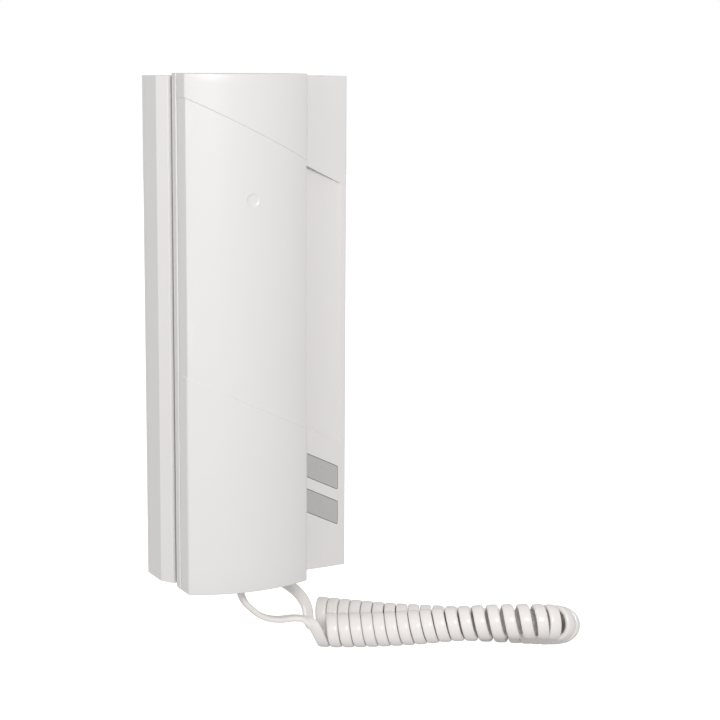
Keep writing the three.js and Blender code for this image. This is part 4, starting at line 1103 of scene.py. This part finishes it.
cord_out = down_out[:-1] + curl_out + up_out[1:]

cord_pvc = moulded("cord_pvc", CORD_WHITE, 0.24, 0.2)
section = flat_section(CORD_WIDTH, CORD_THICK, CORD_FULLNESS)
cord = ribbon("curly_cord", cord_line, cord_out, section, cord_pvc)
cord_path = [p * MM for p in cord_line]
cord_length = sum((q - p).length for p, q in zip(cord_path, cord_path[1:]))
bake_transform(cord)
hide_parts("handset_lead", "cord_coil", "base_lead")
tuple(cord_path[0])

# ---- Table, light and camera --------------------------------------------------------------------
# A plain pale table top that the curl lies on, a white surround and soft lights from the front.
TABLE_Z = -0.14142
TABLE_GLOW = 0.3
TABLE_HALF = 3
TABLE_GREY = (0.35, 0.35, 0.35, 1)
WHITE = (1, 1, 1, 1)
ROOM_LIGHT = 0.62
table_corners = [(x * TABLE_HALF, y * TABLE_HALF, TABLE_Z)
                 for x, y in ((-1, -1), (1, -1), (1, 1), (-1, 1))]
table_top = bpy.data.meshes.new("table_top")
table_top.from_pydata(table_corners, [], [(0, 1, 2, 3)])
table_white = bpy.data.materials.new("table_white")
table_white.use_nodes = True
top, top_links = table_white.node_tree.nodes, table_white.node_tree.links
sheet = top["Principled BSDF"]
sheet.inputs["Base Color"].default_value = TABLE_GREY
sheet.inputs["Roughness"].default_value = 0.9
sheet.inputs["Emission Color"].default_value = WHITE
seen = top.new("ShaderNodeLightPath")
glow = top.new("ShaderNodeMapRange")
glow.inputs["To Min"].default_value = TABLE_GLOW
glow.inputs["To Max"].default_value = 1.0
top_links.new(seen.outputs["Is Camera Ray"], glow.inputs["Value"])
top_links.new(glow.outputs["Result"], sheet.inputs["Emission Strength"])
as_object("table", table_top, table_white)


def soft_light(name, at, towards, width, height, power):
    """A rectangular soft light that faces a point."""
    lamp = bpy.data.lights.new(name, "AREA")
    lamp.shape = "RECTANGLE"
    lamp.size = width
    lamp.size_y = height
    lamp.energy = power
    holder = bpy.data.objects.new(name, lamp)
    holder.location = at
    holder.rotation_euler = (Vector(towards) - Vector(at)).to_track_quat("-Z", "Y").to_euler()
    bpy.context.scene.collection.objects.link(holder)


surround = bpy.data.worlds.new("surround")
surround.use_nodes = True
sky, sky_links = surround.node_tree.nodes, surround.node_tree.links
backdrop = sky.new("ShaderNodeBackground")
backdrop.inputs["Color"].default_value = WHITE
room = sky["Background"]
room.inputs["Color"].default_value = WHITE
room.inputs["Strength"].default_value = ROOM_LIGHT
ray = sky.new("ShaderNodeLightPath")
either = sky.new("ShaderNodeMixShader")
sky_links.new(ray.outputs["Is Camera Ray"], either.inputs["Fac"])
sky_links.new(room.outputs["Background"], either.inputs[1])
sky_links.new(backdrop.outputs["Background"], either.inputs[2])
sky_links.new(either.outputs["Shader"], sky["World Output"].inputs["Surface"])
bpy.context.scene.world = surround
bpy.context.scene.view_settings.view_transform = "Standard"
soft_light("key", (-0.202, -0.810, 0.340), (0, 0, 0), 0.2, 0.2, 3.6)
soft_light("side_key", (-0.84, -0.70, 0.20), (0, 0, 0), 0.4, 0.4, 0.75)
soft_light("left_fill", (-1.16, 0, 0.31), (0, 0, 0), 0.6, 0.6, 1.5)

CAMERA_AT = (-0.304284, -0.746618, 0.114494)
LOOKS_RIGHT = math.radians(26.056)
LOOKS_DOWN = math.radians(9.2095)
ROLL = math.radians(0.350)
LENS = 92.6465
lens = bpy.data.cameras.new("camera")
lens.sensor_width = 36
lens.lens = LENS
camera = bpy.data.objects.new("camera", lens)
turn = Matrix.Rotation(-LOOKS_RIGHT, 4, "Z") @ Matrix.Rotation(math.pi / 2 - LOOKS_DOWN, 4, "X")
camera.matrix_world = Matrix.Translation(CAMERA_AT) @ turn @ Matrix.Rotation(ROLL, 4, "Z")
bpy.context.scene.collection.objects.link(camera)
bpy.context.scene.camera = camera
